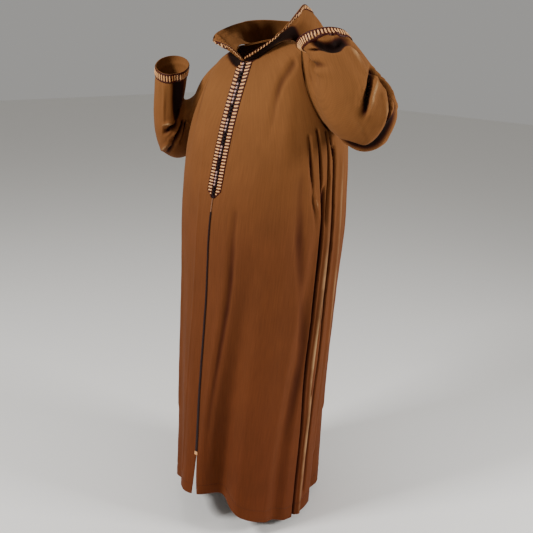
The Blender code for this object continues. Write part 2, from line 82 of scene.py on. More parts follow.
# Rings of each sleeve: outer or elbow point, inner or crook point, and the width across
SLEEVE_LEFT = """
along out_x out_y  out_z  in_x  in_y   in_z   width
0.00  0.250  0.000 -0.205 0.150  0.000 -0.008 0.110
0.15  0.278 -0.008 -0.212 0.186 -0.010 -0.024 0.122
0.30  0.325 -0.020 -0.232 0.214 -0.022 -0.036 0.130
0.42  0.385 -0.032 -0.238 0.236 -0.036 -0.046 0.150
0.52  0.432 -0.045 -0.210 0.247 -0.052 -0.045 0.155
0.60  0.458 -0.050 -0.155 0.245 -0.066 -0.037 0.152
0.70  0.442 -0.050 -0.095 0.235 -0.080 -0.025 0.135
0.80  0.393 -0.047 -0.045 0.221 -0.088 -0.014 0.122
0.90  0.338 -0.034 -0.001 0.206 -0.094 -0.004 0.122
1.00  0.284 -0.018  0.030 0.190 -0.098  0.005 0.132
"""
SLEEVE_RIGHT = """
along out_x  out_y  out_z  in_x   in_y   in_z   width
0.00  -0.232  0.000 -0.225 -0.140  0.000 -0.030 0.110
0.15  -0.262  0.008 -0.262 -0.212  0.004 -0.085 0.112
0.30  -0.288  0.014 -0.308 -0.252 -0.005 -0.140 0.110
0.42  -0.308  0.008 -0.342 -0.275 -0.024 -0.168 0.116
0.52  -0.332 -0.030 -0.350 -0.277 -0.042 -0.172 0.126
0.60  -0.349 -0.068 -0.326 -0.270 -0.052 -0.168 0.130
0.70  -0.347 -0.098 -0.268 -0.260 -0.058 -0.151 0.122
0.80  -0.331 -0.116 -0.202 -0.249 -0.063 -0.128 0.114
0.90  -0.314 -0.127 -0.136 -0.240 -0.066 -0.100 0.114
1.00  -0.302 -0.131 -0.069 -0.230 -0.069 -0.069 0.122
"""
# Direction across each sleeve, from its front face to its back face
ACROSS_LEFT = """
along x     y    z
0.00  0.00  1.00  0.00
0.50  0.10  0.99  0.10
0.78  0.00  0.98 -0.10
1.00 -0.50  0.74 -0.42
"""
ACROSS_RIGHT = """
along x     y    z
0.00  0.00  1.00 0.00
0.30 -0.25  0.95 0.15
0.55 -0.55  0.75 0.35
1.00 -0.60  0.69 0.39
"""
SLEEVE_START = {"left": (0.93, -0.08, -0.22), "right": (-0.78, -0.05, -0.62)}
SLEEVE_REACH = 0.42
ARMHOLE_BLEND = 0.16
HEM_DROP = 1.36
ARMHOLE_TOP = 0.088
ARMHOLE_LOW = 0.300
ARMHOLE_HALF_ANGLE = np.radians(17)

# Hood: at each angle round the neck, its face edge, how far its pouch hangs and how it swells
HOOD_LEFT = """
angle edge_x edge_y  edge_z pouch swell
0     0.005 -0.086  -0.034  0.010 0.002
20    0.036 -0.084  -0.018  0.011 0.004
40    0.070 -0.069   0.006  0.012 0.006
60    0.105 -0.042   0.044  0.014 0.008
76    0.117 -0.008   0.084  0.020 0.010
92    0.106  0.028   0.103  0.034 0.012
120   0.086  0.078   0.088  0.082 0.020
140   0.063  0.104   0.072  0.150 0.026
160   0.034  0.119   0.064  0.245 0.030
180   0.000  0.125   0.062  0.330 0.032
"""
HOOD_RIGHT = """
angle edge_x  edge_y  edge_z pouch swell
0     -0.005 -0.086  -0.034  0.010 0.002
16    -0.030 -0.101  -0.010  0.011 0.002
30    -0.062 -0.109   0.001  0.012 0.002
46    -0.101 -0.098   0.006  0.013 0.004
62    -0.121 -0.068   0.022  0.014 0.006
80    -0.116 -0.028   0.040  0.020 0.008
100   -0.108  0.018   0.054  0.038 0.012
120   -0.092  0.060   0.062  0.080 0.018
140   -0.066  0.096   0.064  0.150 0.026
160   -0.034  0.117   0.063  0.245 0.030
180   0.000   0.125   0.062  0.330 0.032
"""
HOOD_CLEARANCE = 0.005
HOOD_LOW = 0.34
HOOD_KNOTS = np.array([0.18, HOOD_LOW, 0.42, 0.52, 0.76, 1.0])
HOOD_UPRIGHT = 0.016
HOOD_HANGING = 0.060
HOOD_OPENING = 0.012
HOOD_SEAM = 0.0018
HOOD_TURN = 0.012
HOOD_INNER_MIDDLE = 0.50
HOOD_INNER_LOW = 0.92
HOOD_OUTER_LOW = 0.18
HOOD_OUTER_HIGH = 0.60
HOOD_LOW_SWELL = 0.75
HOOD_TRIM_WIDTH = 0.016
HOOD_TRIM_LOWEST = 0.5

# Front closing and centre seam: distances from the centre front, and drops from the neck
KNOT_BAND_HALF = 6.2 * MM
PLACKET_OUTER = 26.2 * MM
PLACKET_TOP = 3 * MM
PLACKET_TIP = 0.388
PLACKET_SLANT = 22 * MM
SLIT_TOP = 1.20
SLIT_HALF_AT_HEM = 7 * MM
HEM_FOLD = 35 * MM
# Creases, one a line: its name, half its width in mm and how sharp its crest is, then points
# along it: an angle round the body in degrees, a drop from the neck and a height in mm, which is
# negative in a trough. Each has its own length, width and depth, as the worn garment shows them,
# and similar ones lie on the sides that it hides. A tint line only colours the cloth, as deep as a
# crease of that height would be coloured: it is painted shade, and here it paints the shadow
# beneath the hood's edges on the shoulders.
BODY_CREASES = """
pressed_edge      9 1.2   -52 .10 0     -24 .20 1.8   -12 .40 2.4   -12.5 .72 2.8   -17 1.30 3.2
chest_pull       26 1.6    66 .12 -5     46 .15 -5     33 .27 0
chest_swell      34 2.0    56 .17 0      50 .26 4      46 .36 2
hip_swell        40 2.0    50 .36 2      50 .55 4      50 .85 3     48 1.10 1
near_valley      26 1.8    60 .33 -2     62 .50 -6     68 .64 -3     76 .80 -5    76 .95 -6   72 1.12 -2
gather_one       10 1.2    66 .295 -4    67.5 .35 -11  74.5 .48 -1
gather_lens       8 1.3    68 .38 1      73 .42 9      78 .46 0
gather_two        8 1.1    73.5 .29 -8   76 .36 -13    80.5 .48 -2
gather_three      8 1.1    82 .30 -10    84 .36 -13    82.5 .47 -4
side_line         8 1.8    79.5 .40 -8   80.5 .62 -19  83 .90 -21    87 1.10 -21  87.5 1.36 -18
side_roll        14 2.2    85.5 .38 4    86 .56 7      87 .72 10     88 .88 8      91.5 1.05 9  92.5 1.36 6
back_line         8 1.8    90 .335 -15   91.5 .45 -20  93.5 .72 -19  96.5 .86 -15 97.5 1.05 -12 98.5 1.30 -6
split_line        4 1.1    87 .70 -4     88.5 .83 -15  91 .985 -6
back_roll        18 1.7    99 .36 6      100 .52 7     104 .72 6     110 .95 4    112 1.20 3
flap_shade       20 2.2    -6 .004 -5    -24 .012 -10  -44 .022 -13  -64 .045 -8
tint_flap        26 3.0    -5 .000 -11   -24 .006 -15  -44 .016 -15  -66 .035 -13  -78 .07 -5
tint_neck        11 2.2    10 .000 -9    34 .000 -13   56 .000 -13   76 .004 -10
arm_seam_front    7 1.1    82 .10 -5     73.5 .15 -7   74 .21 -8     79 .27 -9    86 .30 -9
arm_slot          8 1.0    86 .312 -16   89 .34 -22    92 .37 -6
back_fold_one    16 1.4    114 .36 -3    118 .60 -10   122 .95 -8    124 1.25 -4
back_roll_two    22 1.8    130 .30 2     134 .60 4.5   137 1.10 4
back_fold_two    18 1.4    152 .42 -2    154 .75 -9    158 1.20 -8
back_roll_mid    24 1.9    182 .50 0     178 .85 4     176 1.36 5
back_pull_left   30 1.9    150 .12 -3    165 .20 -4    178 .34 0
back_pull_right  28 1.9    210 .14 -3    198 .22 -4    188 .36 0
back_fold_three  18 1.4    202 .46 -2    205 .80 -9    208 1.25 -7
back_roll_three  20 1.7    232 .34 3     229 .60 5     227 1.20 4
back_fold_four   15 1.3    248 .34 -4    250 .62 -10   252 1.10 -6
side_gather      9 1.1     276 .315 -7   276 .38 -9    280 .50 -1
side_gather_two  9 1.1     262 .315 -7   264 .38 -8    268 .52 -1
right_line       8 1.1     272 .42 -3    273 .75 -12   270 1.36 -11
right_roll       14 1.6    280 .46 2     280 .80 5.5   279 1.36 5
right_fold       16 1.5    294 .34 -4    298 .60 -9    300 1.00 -5
right_soft       24 1.9    320 .36 0     320 .70 4     318 1.10 3
right_pull       28 1.9    300 .15 -4    316 .22 -3    324 .36 0
lap_soft         24 2.0     14 .42 0      12 .80 3       8 1.25 3
thigh_fold       17 1.6     18 .42 -3     18 .62 -7     14 .85 -9     10 1.08 -6   8 1.26 -2
thigh_roll       44 2.0     38 .44 0      38 .70 3      37 1.00 3     34 1.30 2
"""
# On a sleeve a place is an angle round it in degrees, 0 at the elbow side and 270 at the front
# face, and a share of the way along it
CREASES_SLEEVE_LEFT = """
cuff_pocket      17 2.4   248 .893 -14   257 .878 -22  270 .872 -24  285 .884 -24  301 .912 -22  318 .93 -8
cuff_pillow       9 1.6   250 .955 4     270 .94 6      300 .955 4
cuff_dimple       5 1.2   281 .942 -5    288 .945 -12   294 .95 -5
cuff_blob         7 1.2   222 .83 -4     240 .842 -14   256 .85 -4
cuff_pull        12 1.5   322 .90 -3     332 .885 -6    348 .87 -3
cuff_glow        15 2.0   308 .88 3      319 .855 8     322 .79 4
crook_line       18 1.7   205 .64 -5     222 .685 -7   240 .73 -6    258 .76 -2
crook_roll       16 1.8   205 .59 3      226 .63 4     246 .68 3     262 .71 1
elbow_cut         8 1.7   345 .80 -8     326 .75 -22    313 .69 -26   308 .64 -20    307 .585 -5
elbow_roll        8 1.4   345 .765 4     324 .705 9     317 .655 8    314 .60 3
elbow_left_roll  10 1.7   328 .78 3      307 .70 5      300 .62 3
elbow_cut_two     8 1.4   357 .71 -7     351 .655 -20   347 .61 -17   349 .57 -5
elbow_roll_two    9 1.5   341 .69 4      340 .64 7      337 .59 3
edge_cut          8 1.1   348 .80 -8     353 .755 -20   362 .70 -20   378 .655 -12   384 .62 -4
edge_roll         7 1.4   353 .81 4      360 .75 8      372 .69 6     390 .63 3
under_band       19 1.9   337 .02 -6  328 .24 -15  325 .41 -18  342 .455 -18  350 .52 -17  357 .58 -15  372 .63 -7
under_glow       12 1.8   292 .585 2     303 .565 5     315 .545 5    327 .52 2
back_cut         10 1.1    40 .80 -4      60 .70 -12    74 .60 -5
back_roll        10 1.5    28 .74 3       48 .66 8      58 .58 4
back_cut_two     12 1.2   100 .82 -4     122 .72 -11   112 .62 -4
back_soft        16 1.9    20 .50 2       60 .50 6      96 .44 2
back_under       14 1.4   150 .30 -6     128 .36 -9    100 .42 -2
crook_in         14 1.3   178 .60 -6     190 .66 -12   205 .70 -10
crook_in_two     12 1.2   150 .70 -4     168 .76 -11   186 .80 -5
shoulder_pull    18 2.0   200 .08 0      235 .22 -3    262 .34 0
"""
# tint_inner and tint_elbow paint shade on the sleeve's inner side, where it faces the body, and by the elbow
CREASES_SLEEVE_RIGHT = """
fore_edge        11 1.4   292 .93 2      290 .82 4      288 .72 2
inner_sag        24 2.4   250 .96 -8     245 .84 -11   238 .72 -9   230 .62 -5
tint_inner       36 3.0   236 .96 -9     232 .84 -11   226 .72 -11  220 .60 -8
tint_elbow       30 2.2   232 .60 -5     262 .50 -6    258 .38 -6   266 .28 -3
elbow_roll        9 1.3   292 .715 4     272 .685 9     248 .60 4
elbow_cut        12 1.5   290 .67 -8     266 .625 -21   243 .55 -12
elbow_roll_two    9 1.3   284 .59 4      262 .545 9     246 .48 4
elbow_cut_two    11 1.5   286 .53 -7     264 .49 -20   247 .43 -10
elbow_roll_three 10 1.4   341 .61 3      305 .595 9     286 .565 4
elbow_cut_three  10 1.4   338 .57 -6     308 .555 -16   290 .52 -7
low_roll          9 1.3   290 .50 2      274 .465 8     258 .41 4
low_cut          10 1.4   284 .45 -5     268 .41 -18   256 .36 -8
low_roll_two      9 1.4   240 .40 2      258 .34 7      277 .265 2
crook_cut        10 1.2   225 .62 -4     215 .57 -11   205 .53 -6
crook_cut_two    10 1.2   205 .70 -4     196 .64 -10   188 .58 -6
out_soft         14 1.9    10 .80 2       24 .68 5      20 .55 2
out_cut          10 1.1    40 .74 -3      56 .62 -11    70 .54 -5
out_roll         10 1.4    60 .76 3       76 .66 8      90 .58 4
out_cut_two      11 1.2   100 .74 -4     112 .64 -11   122 .56 -5
back_soft        16 1.8    80 .30 0      100 .38 -5    130 .44 -3
"""
# On the hood a place is an angle round the neck in degrees and a share of the way up its section
# tint_neck paints shade low on the hood by the neck seam, beneath its edge
CREASES_HOOD_LEFT = """
face_roll        12 1.8    12 .30 0       20 .70 2      26 .98 2
neck_shade       80 2.6    24 .42 -4     38 .42 -6     56 .44 -6     74 .44 -4
tint_neck        88 4.0    14 .14 -11    34 .14 -13    56 .16 -13    80 .20 -12
side_cut         14 1.6    62 .20 -2      58 .60 -5     62 .95 -3
side_roll        16 1.8    84 .45 2       80 .70 5      78 .95 3
pouch_cut        16 1.5   128 .95 -3     140 .75 -7    152 .52 -3
pouch_roll       18 1.8   112 .95 3      126 .72 6     142 .50 2
pouch_cut_two    14 1.5   158 .90 -2     164 .72 -5    170 .52 -2
"""
CREASES_HOOD_RIGHT = """
grip_cut          9 1.2    24 .20 -3      34 .60 -9     44 .96 -9
grip_roll         9 1.4    14 .20 2       24 .60 6      34 .96 6
grip_cut_two     11 1.3    46 .15 -3      52 .55 -9     58 .95 -9
grip_roll_two    10 1.5    36 .15 2       44 .55 6      52 .96 7
side_roll        16 1.8    84 .40 2       82 .70 5      80 .95 3
pouch_cut        16 1.5   124 .95 -3     138 .72 -7    150 .50 -3
pouch_roll       18 1.8   108 .95 3      122 .70 6     138 .50 2
pouch_cut_two    13 1.5   156 .92 -2     166 .70 -5    172 .52 -2
"""


def table(text):
    """The named columns of a table, each an array with a value for every row; names are left out."""
    lines = [line.split() for line in text.strip().splitlines()]
    first = 1 if lines[0][0] == "name" else 0
    values = np.array([[float(word) for word in line[first:]] for line in lines[1:]])
    return {name: values[:, i] for i, name in enumerate(lines[0][first:])}


def smooth(where, at, values):
    """A smooth curve through the rows, each slope taken from the rows beside it."""
    where = np.clip(where, at[0], at[-1])
    slopes = np.gradient(values, at, axis=0)
    row = np.clip(np.searchsorted(at, where, side="right") - 1, 0, len(at) - 2)
    span = at[row + 1] - at[row]
    t = (where - at[row]) / span
    if values.ndim > 1:
        span = span[..., None]
        t = t[..., None]
    start = (2 * t**3 - 3 * t**2 + 1) * values[row] + (t**3 - 2 * t**2 + t) * span * slopes[row]
    end = (3 * t**2 - 2 * t**3) * values[row + 1] + (t**3 - t**2) * span * slopes[row + 1]
    return start + end


def read(rows, key, columns, where):
    """One or more columns of a table, read smoothly at any place along its key column."""
    if isinstance(columns, str):
        return smooth(where, rows[key], rows[columns])
    return smooth(where, rows[key], np.stack([rows[name] for name in columns], -1))


def unit(vectors):
    return vectors / np.linalg.norm(vectors, axis=-1, keepdims=True)


def ease(t):
    """From 0 to 1 with a soft start and end."""
    t = np.clip(t, 0, 1)
    return t * t * (3 - 2 * t)


TORSO_ROWS = table(TORSO)
FOLD_ROWS = table(BODY_FOLDS)


def fold_depth(angle, drop):
    """How far all the large folds together move the cloth in or out."""
    depth = np.zeros_like(angle)
    for i in range(len(FOLD_ROWS["drop_top"])):
        row = {name: column[i] for name, column in FOLD_ROWS.items()}
        run = np.clip((drop - row["drop_top"]) / (row["drop_low"] - row["drop_top"]), 0, 1)
        centre = np.radians(row["angle_top"] + (row["angle_low"] - row["angle_top"]) * run)
        half = np.radians(row["width_top"] + (row["width_low"] - row["width_top"]) * run)
        away = (angle - centre + np.pi) % (2 * np.pi) - np.pi
        across = np.where(np.abs(away) < half, (1 + np.cos(np.pi * away / half)) / 2, 0)
        height = row["depth_top"] + (row["depth_low"] - row["depth_top"]) * run**1.3
        depth += across * height * ease((drop - row["drop_top"]) / 0.15)
    return depth


def torso(angle, drop):
    """Outer surface of the body: angle round it from the centre front, drop below the neck."""
    angle, drop = np.broadcast_arrays(np.asarray(angle, float), np.asarray(drop, float))
    sine, cosine = np.sin(angle), np.cos(angle)

    def level(name):
        return read(TORSO_ROWS, "drop", name, drop)

    side = np.where(sine > 0, level("left"), level("right"))
    depth = np.where(cosine > 0, level("front"), level("back"))
    z_side = np.where(sine > 0, level("z_left"), level("z_right"))
    z_middle = np.where(cosine > 0, level("z_front"), level("z_back"))
    power = level("round")
    fold = fold_depth(angle, drop)
    x = side * np.sign(sine) * np.abs(sine)**power + fold * sine
    y = -depth * np.sign(cosine) * np.abs(cosine)**power - fold * cosine
    return np.stack([x, y, z_side + (z_middle - z_side) * cosine**2], -1)


def front_angle(offset, drop):
    """The angle of a place on the front, from its distance to the side of the centre front."""
    left, right = read(TORSO_ROWS, "drop", "left", drop), read(TORSO_ROWS, "drop", "right", drop)
    share = np.abs(offset) / np.where(offset > 0, left, right)
    return np.sign(offset) * np.arcsin(share**(1 / read(TORSO_ROWS, "drop", "round", drop)))


def outward(surface, u, v, v_low, v_high, sign=1):
    """Unit normals of a surface, from small steps along its two parameters."""
    step = 1e-4
    low, high = np.clip(v - step, v_low, v_high), np.clip(v + step, v_low, v_high)
    along_u = surface(u + step, v) - surface(u - step, v)
    along_v = surface(u, high) - surface(u, low)
    return sign * unit(np.cross(along_v, along_u))


def torso_normals(angle, drop):
    return outward(torso, angle, drop, 0, HEM_DROP)


def on_torso(angle, drop, height):
    """Points on the body, moved out from it."""
    return torso(angle, drop) + torso_normals(angle, drop) * np.asarray(height)[..., None]


def armhole(turn, side):
    """The armhole's outline on the body: turn 0 at the underarm, half a turn at the shoulder."""
    middle = (ARMHOLE_TOP + ARMHOLE_LOW) / 2
    half = (ARMHOLE_LOW - ARMHOLE_TOP) / 2
    angle = side * (np.pi / 2 + ARMHOLE_HALF_ANGLE * np.sin(turn))
    return angle, middle + half * np.cos(turn)


def edge_angle(drop):
    """Angle from the centre front to the panel's side edge: seam, armhole front, seam."""
    middle = (ARMHOLE_TOP + ARMHOLE_LOW) / 2
    half = (ARMHOLE_LOW - ARMHOLE_TOP) / 2
    cut = np.sqrt(np.clip(1 - ((drop - middle) / half)**2, 0, 1))
    return np.pi / 2 - ARMHOLE_HALF_ANGLE * cut


class Sleeve:
    """A sleeve as rings that leave the armhole, fan out at the elbow and end at the cuff."""

    def __init__(self, name, side, rings, across):
        self.side = side
        self.rings = table(rings)
        self.across = table(across)
        self.start = np.array(SLEEVE_START[name])

    def __call__(self, turn, along):
        turn, along = np.broadcast_arrays(np.asarray(turn, float), np.asarray(along, float))
        outer = read(self.rings, "along", ("out_x", "out_y", "out_z"), along)
        inner = read(self.rings, "along", ("in_x", "in_y", "in_z"), along)
        half = (outer - inner) / 2
        across = read(self.across, "along", ("x", "y", "z"), along)
        axis = unit(half)
        across = unit(across - axis * np.sum(across * axis, -1, keepdims=True))
        across = across * (read(self.rings, "along", "width", along) / 2)[..., None]
        ring = (outer + inner) / 2 + half * np.cos(turn)[..., None] + across * np.sin(turn)[..., None]
        angle, drop = armhole(turn, self.side)
        hole = torso(angle, drop) + self.start * (SLEEVE_REACH * along + SEAM_GAP)[..., None]
        stay = ease(1 - along / ARMHOLE_BLEND)[..., None]
        return ring * (1 - stay) + hole * stay

    def normals(self, turn, along):
        return outward(self, turn, along, 0, 1, -self.side)


class Hood:
    """Half of the hood: up from the neck seam, down into the pouch and up to the face edge."""

    def __init__(self, side, rows):
        self.side = side
        self.rows = table(rows)

    def __call__(self, angle, rise):
        angle, rise = np.broadcast_arrays(np.asarray(angle, float), np.asarray(rise, float))
        degrees = np.degrees(angle)
        round_neck = self.side * angle
        edge = read(self.rows, "angle", ("edge_x", "edge_y", "edge_z"), degrees)
        pouch = read(self.rows, "angle", "pouch", degrees)
        swell = read(self.rows, "angle", "swell", degrees)
        seam = on_torso(round_neck, 0 * pouch, 0 * pouch + SEAM_GAP)
        out = np.stack([np.sin(round_neck), -np.cos(round_neck), 0 * pouch + 0.2], -1)
        hangs = ease((pouch - HOOD_UPRIGHT) / (HOOD_HANGING - HOOD_UPRIGHT))[..., None]

        def section(share, hanging):
            share = np.broadcast_to(share, pouch.shape)[..., None]
            bulge = out * swell[..., None] * np.sin(np.pi * share)
            upright = seam + (edge - seam) * share + bulge
            return upright + (hanging - upright) * hangs

        down = np.clip(rise / HOOD_LOW, 0, 1)
        gap = SEAM_GAP + (HOOD_CLEARANCE - SEAM_GAP) * ease(down / 0.3)
        inner_layer = section(rise, on_torso(round_neck, HOOD_INNER_LOW * pouch * down, gap))
        above = on_torso(round_neck, HOOD_INNER_MIDDLE * pouch, 0 * pouch + HOOD_CLEARANCE)
        low = on_torso(round_neck, HOOD_INNER_LOW * pouch, 0 * pouch + HOOD_CLEARANCE)
        turned = on_torso(round_neck, pouch, 0 * pouch + HOOD_CLEARANCE + HOOD_TURN / 2)
        lower = turned + (edge - turned) * HOOD_OUTER_LOW + out * (swell * HOOD_LOW_SWELL)[..., None]
        upper = turned + (edge - turned) * HOOD_OUTER_HIGH + out * swell[..., None]
        hanging = [above, low, turned, lower, upper, edge]
        points = [section(share, point) for share, point in zip(HOOD_KNOTS, hanging)]
        outer_layer = self.through(HOOD_KNOTS, points, rise.clip(HOOD_KNOTS[0]))
        return np.where((rise < HOOD_LOW)[..., None], inner_layer, outer_layer)

    @staticmethod
    def through(knots, points, rise):
        """A smooth curve through the section's own points, at each place along it."""
        stack = np.stack(points, 0)
        slopes = np.gradient(stack, knots, axis=0)
        row = np.clip(np.searchsorted(knots, rise, side="right") - 1, 0, len(knots) - 2)
        t = ((rise - knots[row]) / (knots[row + 1] - knots[row]))[..., None]
        span = (knots[row + 1] - knots[row])[..., None]
        pick = np.indices(rise.shape)
        first, second = stack[(row, *pick)], stack[(row + 1, *pick)]
        slope_a, slope_b = slopes[(row, *pick)], slopes[(row + 1, *pick)]
        start = (2 * t**3 - 3 * t**2 + 1) * first + (t**3 - 2 * t**2 + t) * span * slope_a
        return start + (3 * t**2 - 2 * t**3) * second + (t**3 - t**2) * span * slope_b

    def normals(self, angle, rise):
        return outward(self, angle, rise, 0, 1, -self.side)


LEFT_SLEEVE = Sleeve("left", 1, SLEEVE_LEFT, ACROSS_LEFT)
RIGHT_SLEEVE = Sleeve("right", -1, SLEEVE_RIGHT, ACROSS_RIGHT)
LEFT_HOOD = Hood(1, HOOD_LEFT)
RIGHT_HOOD = Hood(-1, HOOD_RIGHT)

# Real size of one radian and of one step along each surface, for creases and for the weave
BODY_RADIUS = 0.235
SLEEVE_RADIUS = 0.065
SLEEVE_LENGTH = 0.42
HOOD_RADIUS = 0.115
HOOD_LENGTH = 0.30
CREASE_STEPS = 9
RIPPLE = 0.4 * MM


def crease_list(text):
    """The lines of a table: half the width, the sharpness, points along it, and if it only tints, as painted
    shade.
    """
    found = []
    for line in text.strip().splitlines():
        words = line.split()
        knots = np.array([float(word) for word in words[3:]]).reshape(-1, 3)
        found.append((float(words[1]) * MM, float(words[2]), knots, words[0].startswith("tint")))
    return found


class Cloth:
    """A surface with its creases on it: every piece of cloth and trim takes its points here."""

    def __init__(self, surface, normals, creases, turn_size, run_size):
        self.surface = surface
        self.normals = normals
        self.creases = crease_list(creases)
        self.turn_size = turn_size
        self.run_size = run_size

    def lines(self, turn, run, tints):
        """The height of all the creases, or of all the tint lines of painted shade, in metres."""
        place = np.stack([turn * self.turn_size, run * self.run_size], -1)
        moved = np.zeros(place.shape[:-1])
        for half, edge, knots, tint in self.creases:
            if tint == tints:
                moved += self.crease(place, half, edge, knots)
        return moved * MM

    def depth(self, turn, run):
        """How far the creases and the cloth's own unevenness move it in or out."""
        across, along = turn * self.turn_size, run * self.run_size
        uneven = np.sin(across * 61 + 3 * np.sin(along * 17)) * np.sin(along * 37 + 2 * np.sin(across * 29))
        return self.lines(turn, run, False) + RIPPLE * uneven

    def crease(self, place, half, edge, knots):
        number = np.arange(len(knots), dtype=float)
        steps = np.linspace(0, number[-1], CREASE_STEPS * (len(knots) - 1) + 1)
        line = np.stack([smooth(steps, number, np.radians(knots[:, 0]) * self.turn_size),
                         smooth(steps, number, knots[:, 1] * self.run_size)], -1)
        deep = np.interp(steps, number, knots[:, 2])
        low, high = line.min(0) - half, line.max(0) + half
        turn_round = 2 * np.pi * self.turn_size
        moved = np.zeros(place.shape[:-1])
        for shift in (-turn_round, 0, turn_round):
            here = place + np.array([shift, 0])
            near = np.all((here > low) & (here < high), axis=-1)
            if near.any():
                moved[near] += self.beside(here[near], line, deep, half, edge)
        return moved

    @staticmethod
    def beside(points, line, deep, half, edge):
        """The crease's height at points near its line."""
        best = np.full(len(points), np.inf)
        height = np.zeros(len(points))
        for start, end, first, last in zip(line[:-1], line[1:], deep[:-1], deep[1:]):
            step = end - start
            t = np.clip((points - start) @ step / (step @ step), 0, 1)
            away = np.linalg.norm(points - start - t[:, None] * step, axis=1)
            closer = away < best
            best = np.where(closer, away, best)
            height = np.where(closer, first + (last - first) * t, height)
        share = np.clip(best / half, 0, 1)
        return height * (1 - share**edge)**2

    def at(self, turn, run, height=0.0):
        """Points on the creased cloth, moved out by a height in metres."""
        turn, run = np.broadcast_arrays(np.asarray(turn, float), np.asarray(run, float))
        out = self.depth(turn, run) + height
        return self.surface(turn, run) + self.normals(turn, run) * out[..., None]


BODY = Cloth(torso, torso_normals, BODY_CREASES, BODY_RADIUS, 1)
ARM_LEFT = Cloth(LEFT_SLEEVE, LEFT_SLEEVE.normals, CREASES_SLEEVE_LEFT, SLEEVE_RADIUS, SLEEVE_LENGTH)
ARM_RIGHT = Cloth(RIGHT_SLEEVE, RIGHT_SLEEVE.normals, CREASES_SLEEVE_RIGHT, SLEEVE_RADIUS, SLEEVE_LENGTH)
COWL_LEFT = Cloth(LEFT_HOOD, LEFT_HOOD.normals, CREASES_HOOD_LEFT, HOOD_RADIUS, HOOD_LENGTH)
COWL_RIGHT = Cloth(RIGHT_HOOD, RIGHT_HOOD.normals, CREASES_HOOD_RIGHT, HOOD_RADIUS, HOOD_LENGTH)


def linear(code):
    """A colour from its sRGB hex code, turned to linear."""
    parts = [int(code[i:i + 2], 16) / 255 for i in (1, 3, 5)]
    return tuple(p / 12.92 if p <= 0.04045 else ((p + 0.055) / 1.055)**2.4 for p in parts) + (1.0,)


def add(tree, kind, inputs=(), **settings):
    """Adds one node with its settings; an input is a value or the output that it is linked to."""
    new = tree.nodes.new(kind)
    for name, value in settings.items():
        setattr(new, name, value)
    for socket, value in dict(inputs).items():
        if isinstance(value, bpy.types.NodeSocket):
            tree.links.new(value, new.inputs[socket])
        else:
            new.inputs[socket].default_value = value
    return new


def finish_named(name, roughness, sheen, sheen_tint, specular=0.3):
    """A new material with its constant shader values; returns the material, its tree and shader."""
    new = bpy.data.materials.new(name)
    new.use_nodes = True
    shader = new.node_tree.nodes["Principled BSDF"]
    shader.inputs["Roughness"].default_value = roughness
    shader.inputs["Metallic"].default_value = 0
    shader.inputs["Specular IOR Level"].default_value = specular
    shader.inputs["Sheen Weight"].default_value = sheen
    shader.inputs["Sheen Roughness"].default_value = 0.45
    shader.inputs["Sheen Tint"].default_value = linear(sheen_tint)
    return new, new.node_tree, shader


def waves_per(size):
    """The Wave texture's scale that gives one band for each size, in metres."""
    return math.pi / 10 / size


# Worsted wool gabardine: a fine steep twill, singed and pressed smooth. It gives the eye an even
# matt brown with faint slubs down the warp and a soft bloom where it turns away. Painted light is
# laid on it: a pale khaki painted highlight on the crests of the folds, a painted shade that goes
# deep red and then nearly black in their depths, and a brown painted lighter towards the shoulders
# and darker towards the hem.
TWILL = 2.6 * MM
TWILL_SLOPE = math.radians(27)
SLUB_ACROSS = 3.5 * MM
SLUB_ALONG = 70 * MM


